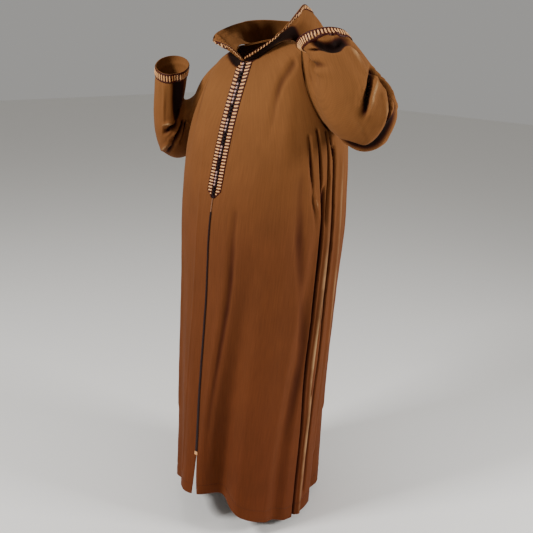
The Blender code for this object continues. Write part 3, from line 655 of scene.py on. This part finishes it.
def wool_gabardine():
    new, tree, shader = finish_named("wool_gabardine", 0.84, 0.08, "#C9A27A", 0.1)
    thread = add(tree, "ShaderNodeAttribute", attribute_name="weave").outputs["Vector"]
    fold = add(tree, "ShaderNodeAttribute", attribute_name="fold").outputs["Fac"]
    place = add(tree, "ShaderNodeTexCoord").outputs["Object"]
    height = add(tree, "ShaderNodeSeparateXYZ", {"Vector": place}).outputs["Z"]
    slub_place = add(tree, "ShaderNodeMapping", {"Vector": thread,
                                                 "Scale": (1 / SLUB_ACROSS, 1 / SLUB_ALONG, 1)})
    slub = add(tree, "ShaderNodeTexNoise", {"Vector": slub_place.outputs[0], "Scale": 1.0, "Detail": 3.0})
    cloud = add(tree, "ShaderNodeTexNoise", {"Vector": place, "Scale": 9.0, "Detail": 3.0})
    # The real twill has about 20 lines to the centimetre; it is drawn coarser so that it shows
    steep = add(tree, "ShaderNodeMapping", {"Vector": thread, "Rotation": (0, 0, TWILL_SLOPE)})
    twill = add(tree, "ShaderNodeTexWave", {"Vector": steep.outputs[0], "Scale": waves_per(TWILL),
                                            "Distortion": 0.6, "Detail": 1.0, "Detail Scale": 2.0},
                bands_direction="X")
    # Painted light: the brown is lighter towards the shoulders, where the light falls stronger, and darker and
    # redder towards the hem
    painted_top_light = add(tree, "ShaderNodeMapRange", {"Value": height, "From Min": -1.30, "From Max": -0.13})
    dye_and_top_light = add(tree, "ShaderNodeValToRGB", {"Fac": painted_top_light.outputs[0]})
    stops = dye_and_top_light.color_ramp.elements
    stops[0].color = linear("#5E2D13")
    stops[1].color = linear("#784C27")
    stops.new(0.66).color = linear("#65381C")
    # Painted highlight: the crests of the creases turn pale tan where light would catch them, broken into patches
    # by noise
    ridge_highlight = add(tree, "ShaderNodeMapRange", {"Value": fold, "From Min": 0.40, "From Max": 0.95, "To Max": 0.95})
    highlight_patches = add(tree, "ShaderNodeMapRange", {"Value": cloud.outputs["Fac"], "From Min": 0.36, "From Max": 0.56,
                                            "To Min": 0.35})
    ridge_highlight = add(tree, "ShaderNodeMath", {0: ridge_highlight.outputs[0], 1: highlight_patches.outputs[0]}, operation="MULTIPLY")
    with_ridge_highlight = add(tree, "ShaderNodeMix", {0: ridge_highlight.outputs[0], 6: dye_and_top_light.outputs[0], 7: linear("#B8956A")},
                 data_type="RGBA")
    # Painted shade: the troughs of the creases, and the tint lines, darken to deep red and then nearly black
    crease_shade = add(tree, "ShaderNodeMapRange", {"Value": fold, "From Min": -0.15, "From Max": -0.75})
    deep = add(tree, "ShaderNodeMix", {0: crease_shade.outputs[0], 6: with_ridge_highlight.outputs[2], 7: linear("#3A160A")},
               data_type="RGBA")
    darkest_crease_shade = add(tree, "ShaderNodeMapRange", {"Value": fold, "From Min": -0.70, "From Max": -1.0})
    deep = add(tree, "ShaderNodeMix", {0: darkest_crease_shade.outputs[0], 6: deep.outputs[2], 7: linear("#170704")},
               data_type="RGBA")
    streak = add(tree, "ShaderNodeMapRange", {"Value": slub.outputs["Fac"], "From Min": 0.3, "From Max": 0.7,
                                              "To Min": 0.90, "To Max": 1.08})
    patch = add(tree, "ShaderNodeMapRange", {"Value": cloud.outputs["Fac"], "From Min": 0.3, "From Max": 0.7,
                                             "To Min": 0.93, "To Max": 1.06})
    line = add(tree, "ShaderNodeMapRange", {"Value": twill.outputs["Fac"], "To Min": 0.94, "To Max": 1.04})
    uneven = add(tree, "ShaderNodeMath", {0: streak.outputs[0], 1: patch.outputs[0]}, operation="MULTIPLY")
    value = add(tree, "ShaderNodeMath", {0: uneven.outputs[0], 1: line.outputs[0]}, operation="MULTIPLY")
    tone = add(tree, "ShaderNodeHueSaturation", {"Color": deep.outputs[2], "Value": value.outputs[0]})
    tree.links.new(tone.outputs[0], shader.inputs["Base Color"])
    rise = add(tree, "ShaderNodeMath", {0: twill.outputs["Fac"], 1: slub.outputs["Fac"]}, operation="ADD")
    bump = add(tree, "ShaderNodeBump", {"Height": rise.outputs[0], "Strength": 0.35, "Distance": 0.25 * MM})
    tree.links.new(bump.outputs[0], shader.inputs["Normal"])
    return new


# Rayon thread, satin stitched side by side: straight glossy threads across each bar. Each thread is painted
# lighter on its crown and darker in the grooves between threads, as painted shade, with a patchy random tone from
# noise.
SATIN_THREAD = 0.8 * MM


def satin_thread(name, crown_colour, groove_shade_colour, sheen_tint, sheen=0.2, specular=0.45):
    new, tree, shader = finish_named(name, 0.45, sheen, sheen_tint, specular)
    thread = add(tree, "ShaderNodeAttribute", attribute_name="weave").outputs["Vector"]
    place = add(tree, "ShaderNodeTexCoord").outputs["Object"]
    ridge = add(tree, "ShaderNodeTexWave", {"Vector": thread, "Scale": waves_per(SATIN_THREAD),
                                            "Distortion": 0.4}, bands_direction="X")
    wear = add(tree, "ShaderNodeTexNoise", {"Vector": place, "Scale": 160.0, "Detail": 2.0})
    mixed = add(tree, "ShaderNodeMath", {0: ridge.outputs["Fac"], 1: wear.outputs["Fac"]},
                operation="MULTIPLY")
    # Painted shade: the grooves between threads take the darker colour and the crowns the lighter one
    colour = add(tree, "ShaderNodeMix", {0: mixed.outputs[0], 6: linear(groove_shade_colour), 7: linear(crown_colour)},
                 data_type="RGBA")
    tree.links.new(colour.outputs[2], shader.inputs["Base Color"])
    bump = add(tree, "ShaderNodeBump", {"Height": ridge.outputs["Fac"], "Strength": 0.5,
                                        "Distance": 0.2 * MM})
    tree.links.new(bump.outputs[0], shader.inputs["Normal"])
    return new


WOOL = wool_gabardine()
CREAM = satin_thread("cream_rayon", "#F8CC92", "#CC8A4E", "#FFE0BC", 0.12)
ROSE = satin_thread("pale_rose_rayon", "#F6DCD2", "#B88478", "#FFF0F0")
PLUM = satin_thread("plum_rayon", "#2C0E10", "#140506", "#5A2C30", 0.03, 0.15)
MAROON = satin_thread("maroon_braid", "#5A1E12", "#2A0A06", "#7A3020", 0.03, 0.12)
TAN = satin_thread("tan_thread", "#B58A68", "#7A4E34", "#C8A890")


def grid_faces(rows, columns, tube=False, offset=0, turned=False):
    """Four-sided faces between the rows and columns of a grid of points."""
    last = columns if tube else columns - 1
    i, j = np.meshgrid(np.arange(rows - 1), np.arange(last), indexing="ij")
    a = (i * columns + j).ravel() + offset
    b = (i * columns + (j + 1) % columns).ravel() + offset
    ring = [a, b, b + columns, a + columns]
    return np.stack(ring[::-1] if turned else ring, 1)


def rim_faces(first, second, closed, turned):
    """Faces that join two lines of points."""
    a, b, c, d = first[:-1], first[1:], second[:-1], second[1:]
    if closed:
        a, b, c, d = first, np.roll(first, -1), second, np.roll(second, -1)
    ring = [b, a, c, d]
    return np.stack(ring[::-1] if turned else ring, 1)


def outward_faces(points, faces):
    """Turns all faces of a closed mesh round if they look inwards."""
    a, b, c, d = (points[faces[:, k]] for k in range(4))
    volume = np.sum(a * np.cross(b, c)) + np.sum(a * np.cross(c, d))
    return faces if volume > 0 else faces[:, ::-1]


def new_piece(name, points, faces, finish, weave, fold=None, sharp=50):
    """Makes the object, with its weave coordinates and fold depths as attributes, and places it; the wool paints
    shade and highlight from the fold depths.
    """
    mesh = bpy.data.meshes.new(name)
    mesh.from_pydata(points.tolist(), [], outward_faces(points, faces).tolist())
    mesh.materials.append(finish)
    mesh.shade_smooth()
    mesh.set_sharp_from_angle(angle=math.radians(sharp))
    threads = mesh.attributes.new("weave", "FLOAT_VECTOR", "POINT")
    threads.data.foreach_set("vector", weave.astype(np.float32).ravel())
    if fold is not None:
        folds = mesh.attributes.new("fold", "FLOAT", "POINT")
        folds.data.foreach_set("value", fold.astype(np.float32).ravel())
    piece = bpy.data.objects.new(name, mesh)
    bpy.context.scene.collection.objects.link(piece)
    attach(piece, "root")
    return piece


def closed_wall(rows, columns, tube=False):
    """Faces of a wall whose outer points come first and whose inner points follow."""
    count = rows * columns
    index = np.arange(count).reshape(rows, columns)
    faces = [grid_faces(rows, columns, tube), grid_faces(rows, columns, tube, count, True),
             rim_faces(index[0], index[0] + count, tube, False),
             rim_faces(index[-1], index[-1] + count, tube, True)]
    if not tube:
        faces.append(rim_faces(index[:, 0], index[:, 0] + count, False, True))
        faces.append(rim_faces(index[:, -1], index[:, -1] + count, False, False))
    return np.concatenate(faces)


# The depth at which a fold has its full colour of painted shade or painted highlight, and the share of it on the
# cloth's inner face
FOLD_FULL = 11 * MM
INNER_FOLD = -0.3


def wall(name, cloth, turn, run, inward, tube=False):
    """A closed wall of cloth: its outer face on the creased surface, its inner face behind it."""
    depth = cloth.depth(turn, run) + inward
    base, normals = cloth.surface(turn, run), cloth.normals(turn, run)
    outside = base + normals * depth[..., None]
    inside = base + normals * (depth - CLOTH)[..., None]
    weave = np.stack([turn * cloth.turn_size, run * cloth.run_size, 0 * turn], -1).reshape(-1, 3)
    # Fold depths, with the tint lines, become the painted shade and painted highlight of the wool
    fold = np.clip((depth + cloth.lines(turn, run, True)) / FOLD_FULL, -1, 1).ravel()
    points = np.concatenate([outside.reshape(-1, 3), inside.reshape(-1, 3)])
    return new_piece(name, points, closed_wall(*turn.shape, tube), WOOL,
                     np.concatenate([weave, weave]), np.concatenate([fold, INNER_FOLD * fold]))


# How finely the cloth is divided, and how it sinks at its seams and at the hem's stitching
FRONT_COLUMNS = 140
BACK_COLUMNS = 210
SHOULDER_ROWS = 18
HOLE_ROWS = 60
SKIRT_ROWS = 120
SLEEVE_COLUMNS = 120
SLEEVE_ROWS = 130
HOOD_COLUMNS = 84
HOOD_ROWS = 96
SEAM_SHARES = np.array([0.0, 0.002, 0.005, 0.009])
CROWDING = 2.4
CROWD_REACH = 0.13
SEAM_ROLL = 1.4 * MM
SEAM_ROLL_REACH = 4.5 * MM
HEM_DIP = 0.9 * MM
HEM_DIP_REACH = 4 * MM
CUFF_FACING = 0.955


def shares(count, crowded):
    """Shares from 0 to 1 across a panel: closer at its seams, and towards the crowded sides."""
    even = np.linspace(0, 1, 500)
    weight = 1 + CROWDING * sum(np.exp(-((even - end) / CROWD_REACH)**2) for end in crowded)
    run = np.cumsum(weight) - weight[0]
    spread = np.interp(np.linspace(0, run[-1], count - 2 * len(SEAM_SHARES) + 1), run, even)
    return np.concatenate([SEAM_SHARES, 0.013 + 0.974 * spread, 1 - SEAM_SHARES[::-1]])


def rolled(away):
    """How far cloth sinks towards a seam that lies the given distance away."""
    return -SEAM_ROLL * np.exp(-(away / SEAM_ROLL_REACH)**2)


def panel_rows():
    """Levels of a panel's rows from the shoulder down; the armhole's own levels lie closer."""
    shoulder = np.linspace(0, ARMHOLE_TOP, SHOULDER_ROWS + 1)[:-1]
    hole = armhole(np.linspace(np.pi, 0, HOLE_ROWS + 1), 1)[1]
    skirt = np.linspace(ARMHOLE_LOW, HEM_DROP, SKIRT_ROWS + 1)[1:]
    return np.concatenate([shoulder, hole, skirt])[:, None]


def panel(name, node, first, last, share):
    """A panel of the body between two angles at each level."""
    turn = first + (last - first) * share[None, :]
    run = panel_rows() + 0 * turn
    seam = np.minimum(share, 1 - share)[None, :] * np.abs(last - first) * BODY_RADIUS
    hem = -HEM_DIP * np.exp(-((run - HEM_DROP + HEM_FOLD) / HEM_DIP_REACH)**2)
    piece = wall(name, BODY, turn, run, rolled(seam) + rolled(run) + hem)
    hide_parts(node)
    return piece


def front(word, side):
    drops = panel_rows()
    opened = SLIT_HALF_AT_HEM * np.clip((drops - SLIT_TOP) / (HEM_DROP - SLIT_TOP), 0, 1)
    first = front_angle(side * (SEAM_GAP / 2 + opened), drops)
    last = side * (edge_angle(drops) - SEAM_GAP / 2 / BODY_RADIUS)
    piece = panel("front_panel_" + word, "front_" + word, first, last, shares(FRONT_COLUMNS, (1,)))


def back():
    first = np.pi - edge_angle(panel_rows()) + SEAM_GAP / 2 / BODY_RADIUS
    piece = panel("back_panel", "back", first, 2 * np.pi - first, shares(BACK_COLUMNS, (0, 1)))


def sleeve(word, cloth):
    run = np.concatenate([SEAM_SHARES, np.linspace(0.015, 1, SLEEVE_ROWS + 1)])[:, None]
    turn = np.linspace(0, 2 * np.pi, SLEEVE_COLUMNS + 1)[None, :-1] + 0 * run
    run = run + 0 * turn
    inward = rolled(run * SLEEVE_LENGTH) + rolled((run - CUFF_FACING) * SLEEVE_LENGTH)
    piece = wall("sleeve_cloth_" + word, cloth, turn, run, inward, tube=True)
    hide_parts("sleeve_" + word)


def hood(word, cloth):
    turn = np.linspace(HOOD_OPENING, np.pi - HOOD_SEAM, HOOD_COLUMNS + 1)[None, :]
    run = np.linspace(0, 1, HOOD_ROWS + 1)[:, None] + 0 * turn
    turn = turn + 0 * run
    piece = wall("hood_shell_" + word, cloth, turn, run, rolled((np.pi - turn) * HOOD_RADIUS))
    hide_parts("hood_" + word)


# Braids. Places on a strip are metres along it and metres across it, and a function turns them
# into points on the cloth, so that every bar, cord and knot follows the garment.
BAR_PITCH = 9.4 * MM
BAR_HALF = 2.3 * MM
BAR_RISE = 1.1 * MM
BAR_BED = 1.0 * MM
BAR_RINGS = 9
BAR_SIDES = 10
BAR_INSET = 2.0 * MM
CORD_SIDES = 8


def ring_angles(sides):
    return np.linspace(0, 2 * np.pi, sides + 1)[:-1]


def bundles(name, place, along, across, height, finish):
    """Closed bundles of thread as one piece, from places of the shape bundle, ring, point."""
    along, across, height = np.broadcast_arrays(along, across, height)
    count, rings, sides = along.shape
    index = np.arange(rings * sides).reshape(rings, sides)
    one = [grid_faces(rings, sides, True)]
    for ring, step in ((index[0], -1), (index[-1], 1)):
        for k in range(sides // 2 - 1):
            across_end = [ring[k], ring[k + 1], ring[sides - 2 - k], ring[sides - 1 - k]]
            one.append(np.array([across_end])[:, ::step])
    one = np.concatenate(one)
    faces = (one[None] + np.arange(count)[:, None, None] * rings * sides).reshape(-1, 4)
    weave = np.stack([along, across, height], -1).reshape(-1, 3)
    points = place(along, across, height).reshape(-1, 3)
    return new_piece(name, points, faces, finish, weave, sharp=60)


def satin_bars(name, place, middles, near, far, half, rise, finish=None):
    """Satin-stitched bars across a strip, full in the middle and drawn in at both ends."""
    share = np.linspace(-1, 1, BAR_RINGS)[None, :, None]
    full = np.sqrt(np.clip(1 - np.abs(share)**9, 0, 1)) * 0.98 + 0.02
    turn = ring_angles(BAR_SIDES)
    near, far = (np.broadcast_to(edge, middles.shape)[:, None, None] for edge in (near, far))
    along = middles[:, None, None] + half * full * np.cos(turn)
    across = (near + far) / 2 + (far - near) / 2 * share
    height = BAR_BED + np.where(np.sin(turn) > 0, rise, 0.3 * rise) * np.sin(turn) * full
    return bundles(name, place, along, across, height, finish or CREAM)


GROUND_SHARES = np.array([0, 0.04, 0.10, 0.16, 0.5, 0.84, 0.90, 0.96, 1.0])
GROUND_RISES = np.array([0.2, 1.1, 1.5, 0.7, 0.7, 0.7, 1.5, 1.1, 0.2]) * MM


def ground(name, node, place, along, near, far, finish):
    """The ground of a braid: a thin closed wall with a cord raised along both edges."""
    run, across = np.broadcast_arrays(along[:, None], near + (far - near) * GROUND_SHARES[None, :])
    top = place(run, across, GROUND_RISES + 0 * run)
    bed = place(run, across, 0.05 * MM + 0 * run)
    weave = np.stack([across, run, 0 * run], -1).reshape(-1, 3)
    points = np.concatenate([top.reshape(-1, 3), bed.reshape(-1, 3)])
    piece = new_piece(name, points, closed_wall(*run.shape), finish,
                      np.concatenate([weave, weave]))
    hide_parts(node)


def on_front(along, across, height=0.0):
    """Places on the front closing: a drop from the neck, a distance from the centre front."""
    return BODY.at(front_angle(across, along), along, SEAM_GAP + height)


def on_strip(along, across, height=0.0):
    """Places on a strip of the closing, whose lower end is cut to a slant towards the tip."""
    out = (np.abs(across) - KNOT_BAND_HALF) / (PLACKET_OUTER - KNOT_BAND_HALF)
    reach = PLACKET_TIP - PLACKET_SLANT * np.clip(out, 0, 1)
    drop = PLACKET_TOP + (along - PLACKET_TOP) * (reach - PLACKET_TOP) / (PLACKET_TIP - PLACKET_TOP)
    return on_front(drop, across, height)


def placket_strip(word, side):
    """One strip of the closing: maroon ground, and cream bars cut off by the slant at the tip."""
    near, far = side * (KNOT_BAND_HALF + 0.4 * MM), side * PLACKET_OUTER
    along = np.linspace(PLACKET_TOP, PLACKET_TIP, 90)
    ground("placket_ground_" + word, "placket_trim_" + word, on_strip, along, near, far, MAROON)
    middles = np.arange(PLACKET_TOP + BAR_PITCH * 0.6, PLACKET_TIP - BAR_PITCH, BAR_PITCH)
    wide = PLACKET_OUTER - KNOT_BAND_HALF
    left_over = np.minimum(1, (PLACKET_TIP - BAR_HALF - middles) / PLACKET_SLANT) * wide - BAR_INSET
    kept = left_over > 2 * BAR_INSET
    inner = KNOT_BAND_HALF + 0.6 * BAR_INSET
    satin_bars("placket_bars_" + word, on_front, middles[kept], side * inner,
               side * (KNOT_BAND_HALF + left_over[kept]), BAR_HALF, BAR_RISE)


KNOT_PITCH = 9.4 * MM
KNOT_RADIUS = 3.0 * MM
KNOT_RINGS = 13
KNOT_SIDES = 16
# Pale and dark knots come in turn, in groups of these sizes from the top
KNOT_GROUPS = (3, 3, 6, 4, 4, 4, 4, 4, 5, 4)
LOOP_CORD = 0.8 * MM
LOOP_HEIGHT = 1.4 * MM
LOOP_REACH = 4.4 * MM
LOOP_HALF = 2.7 * MM


def knots(name, middles, finish, slot):
    """Knotted buttons: balls whose turns of cord stand out as a lattice."""
    tip = np.linspace(0.04, np.pi - 0.04, KNOT_RINGS)[None, :, None]
    turn = ring_angles(KNOT_SIDES)
    lattice = np.cos(4 * turn + 2 * tip) * np.cos(4 * turn - 2 * tip)
    radius = KNOT_RADIUS * (1 + 0.10 * lattice * np.sin(tip))
    along = middles[:, None, None] + radius * np.cos(tip)
    across = radius * np.sin(tip) * np.cos(turn)
    height = KNOT_RADIUS * 0.9 + radius * np.sin(tip) * np.sin(turn)
    bundles(name, on_front, along, across, height, finish)


def knot_column():
    """The middle of the closing: its ground, knotted buttons, and a cord loop on both sides."""
    along = np.linspace(PLACKET_TOP, PLACKET_TIP, 100)
    ground("knot_ground", "placket_knots", on_front, along, -KNOT_BAND_HALF, KNOT_BAND_HALF, PLUM)
    middles = PLACKET_TOP + KNOT_PITCH * (np.arange(sum(KNOT_GROUPS)) + 0.6)
    middles = middles[middles < PLACKET_TIP - KNOT_PITCH * 0.6]
    group = np.repeat(np.arange(len(KNOT_GROUPS)), KNOT_GROUPS)[:len(middles)]
    knots("knots_rose", middles[group % 2 == 0], ROSE, "cream_braid")
    knots("knots_plum", middles[group % 2 == 1], PLUM, "plum_cord")
    t = np.linspace(0.15, 2 * np.pi - 0.15, 15)[None, :, None]
    turn = ring_angles(CORD_SIDES)
    for word, side in (("left", 1), ("right", -1)):
        out = LOOP_REACH / 2 * (1 - np.cos(t)) + 0.8 * MM
        across = side * (out + LOOP_CORD * np.cos(turn))
        loop = middles[:, None, None] + LOOP_HALF * np.sin(t)
        height = LOOP_HEIGHT + LOOP_CORD * np.sin(turn)
        bundles("knot_loops_" + word, on_front, loop, across, height, PLUM)


SEAM_CORD_TOP = PLACKET_TIP + 1 * MM
PALE_SEAM_END = 0.43


def seam_cord(name, top, low, half, finish):
    """A twisted cord down the centre seam; half is its half width at its two ends."""
    run = np.linspace(top, low, 170)[None, :, None]
    turn = ring_angles(CORD_SIDES)
    wide = np.interp(run, [top, low], half)
    twist = 1 + 0.08 * np.sin(run / (3 * MM) + turn)
    return bundles(name, on_front, run, wide * twist * np.cos(turn), (0.9 + 0.8 * twist * np.sin(turn)) * MM,
                   finish)


TACK_BARS = 5
TACK_HALF = 6.5 * MM
TACK_PITCH = 2.4 * MM


def slit_tack():
    """The bar tack above the slit: a few thick stitches side by side."""
    middles = SLIT_TOP + 1 * MM + np.arange(TACK_BARS) * TACK_PITCH
    tack = satin_bars("slit_bar_tack", on_front, middles, -TACK_HALF, TACK_HALF, TACK_PITCH * 0.55, 1.2 * MM)
    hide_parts("hem_slit_tack")


def edge_braid(word, node, place, count, length, wide, inset):
    """A braid along an edge: maroon ground with raised borders, and cream bars across it."""
    ground(word + "_ground", node, place, np.linspace(0, length, count * 3 + 1), 0.4 * MM, wide, MAROON)
    middles = (np.arange(count) + 0.5) * length / count
    satin_bars(word + "_bars", place, middles, 0.4 * MM + inset, wide - inset,
               BAR_HALF / BAR_PITCH * length / count, BAR_RISE)


CUFF_BRAID = 27 * MM
CUFF_PITCH = 8.1 * MM
CUFF_INSET = 4.0 * MM
EDGE_STEP = 0.03


def along_edge(cloth, first, last, lowest):
    """Places on a braid along a cloth's edge in true metres, and the length of that edge."""
    turns = np.linspace(first, last, 240)
    edge = cloth.surface(turns, 1 + 0 * turns)
    run = np.concatenate([[0], np.cumsum(np.linalg.norm(np.diff(edge, axis=0), axis=1))])
    # Metres for a whole unit of the cloth's own measure, taken close to the edge
    tip = np.linalg.norm(edge - cloth.surface(turns, 1 - EDGE_STEP + 0 * turns), axis=1) / EDGE_STEP

    def place(along, across, height=0.0):
        rise = np.maximum(1 - across / np.interp(along, run, tip), lowest)
        return cloth.at(np.interp(along, run, turns), rise, SEAM_GAP + height)
    return place, run[-1]


def cuff_braid(word, cloth):
    place, length = along_edge(cloth, 0, 2 * np.pi, 0)
    edge_braid("cuff_braid_" + word, "cuff_trim_" + word, place, int(round(length / CUFF_PITCH)), length,
               CUFF_BRAID, CUFF_INSET)


def hood_braid(word, cloth):
    place, length = along_edge(cloth, HOOD_OPENING, np.pi - HOOD_SEAM, HOOD_TRIM_LOWEST)
    edge_braid("hood_braid_" + word, "hood_trim_" + word, place, int(round(length / BAR_PITCH)), length,
               HOOD_TRIM_WIDTH - 0.5 * MM, BAR_INSET)


STITCH_HALF = 1.9 * MM
STITCH_PITCH = 6 * MM
STITCH_RADIUS = 0.45 * MM


def hem_stitches():
    """Blind stitches of the hem, a short thread at each place round the skirt."""
    def place(along, across, height=0.0):
        return BODY.at(along / BODY_RADIUS, HEM_DROP - HEM_FOLD + across, height - HEM_DIP * 0.7)
    middles = np.arange(12 * MM, 2 * np.pi * BODY_RADIUS - 12 * MM, STITCH_PITCH)[:, None, None]
    share = np.linspace(-1, 1, 5)[None, :, None]
    full = STITCH_RADIUS * np.sqrt(1 - 0.95 * np.abs(share)**3)
    turn = ring_angles(6)
    bundles("hem_stitches", place, middles + share * STITCH_HALF, full * np.cos(turn), full * np.sin(turn),
            PLUM)


# The view: from the wearer's left front, a little above the shoulders, looking down
VIEW_HEADING = math.radians(41.2)
VIEW_DOWN = math.radians(18)
VIEW_ROLL = math.radians(2.3)
CAMERA_PLACE = (1.3717, -1.5235, 0.03)
LENS = 48.63
FLOOR_BELOW = 1.43


def camera():
    heading, down, roll = VIEW_HEADING, VIEW_DOWN, VIEW_ROLL
    level = Vector((-math.sin(heading), math.cos(heading), 0))
    right = Vector((math.cos(heading), math.sin(heading), 0))
    up = Vector((0, 0, 1))
    ahead = level * math.cos(down) - up * math.sin(down)
    above = up * math.cos(down) + level * math.sin(down)
    right_rolled = right * math.cos(roll) + above * math.sin(roll)
    above_rolled = above * math.cos(roll) - right * math.sin(roll)
    data = bpy.data.cameras.new("camera")
    data.lens = LENS
    data.sensor_width = 36
    held = bpy.data.objects.new("camera", data)
    turned = Matrix((right_rolled, above_rolled, -ahead)).transposed().to_4x4()
    held.matrix_world = Matrix.Translation(CAMERA_PLACE) @ turned
    bpy.context.scene.collection.objects.link(held)
    bpy.context.scene.camera = held


def softbox(name, place, aim, size, power, tint="#FFFFFF"):
    data = bpy.data.lights.new(name, "AREA")
    data.shape = "SQUARE"
    data.size = size
    data.energy = power
    data.color = linear(tint)[:3]
    lamp = bpy.data.objects.new(name, data)
    lamp.location = place
    lamp.rotation_euler = (Vector(aim) - Vector(place)).to_track_quat("-Z", "Y").to_euler()
    bpy.context.scene.collection.objects.link(lamp)


def studio():
    """A pale floor, a pale surround and three soft lights."""
    softbox("key", (-0.95, -2.65, 1.5), (0, 0, -0.5), 0.7, 124)
    softbox("side_light", (2.3, 0.9, 0.25), (0, 0, -0.5), 0.7, 62)
    softbox("top_light", (0.2, -0.3, 2.4), (0, 0, -0.4), 1.2, 18)
    world = bpy.data.worlds.new("surround")
    world.use_nodes = True
    sky = world.node_tree.nodes["Background"]
    sky.inputs["Color"].default_value = linear("#F4F2EE")
    sky.inputs["Strength"].default_value = 0.38
    bpy.context.scene.world = world
    size = 12
    points = [(-size, -size, 0), (size, -size, 0), (size, size, 0), (-size, size, 0)]
    mesh = bpy.data.meshes.new("floor")
    mesh.from_pydata([(x, y, -FLOOR_BELOW) for x, y, z in points], [], [(0, 1, 2, 3)])
    floor = bpy.data.objects.new("floor", mesh)
    paper = bpy.data.materials.new("pale_paper")
    paper.use_nodes = True
    shader = paper.node_tree.nodes["Principled BSDF"]
    shader.inputs["Base Color"].default_value = linear("#F2F0EC")
    shader.inputs["Roughness"].default_value = 0.9
    mesh.materials.append(paper)
    bpy.context.scene.collection.objects.link(floor)


def dress():
    front("left", 1)
    front("right", -1)
    back()
    sleeve("left", ARM_LEFT)
    sleeve("right", ARM_RIGHT)
    hood("left", COWL_LEFT)
    hood("right", COWL_RIGHT)
    placket_strip("left", 1)
    placket_strip("right", -1)
    knot_column()
    seam_cord("pale_seam", SEAM_CORD_TOP, PALE_SEAM_END, (1.1 * MM, 1.1 * MM), TAN)
    cord = seam_cord("seam_cord", PALE_SEAM_END, SLIT_TOP, (2.4 * MM, 4.4 * MM), PLUM)
    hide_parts("front_seam_braid")
    slit_tack()
    cuff_braid("left", ARM_LEFT)
    cuff_braid("right", ARM_RIGHT)
    hood_braid("left", COWL_LEFT)
    hood_braid("right", COWL_RIGHT)
    hem_stitches()


dress()
camera()
studio()
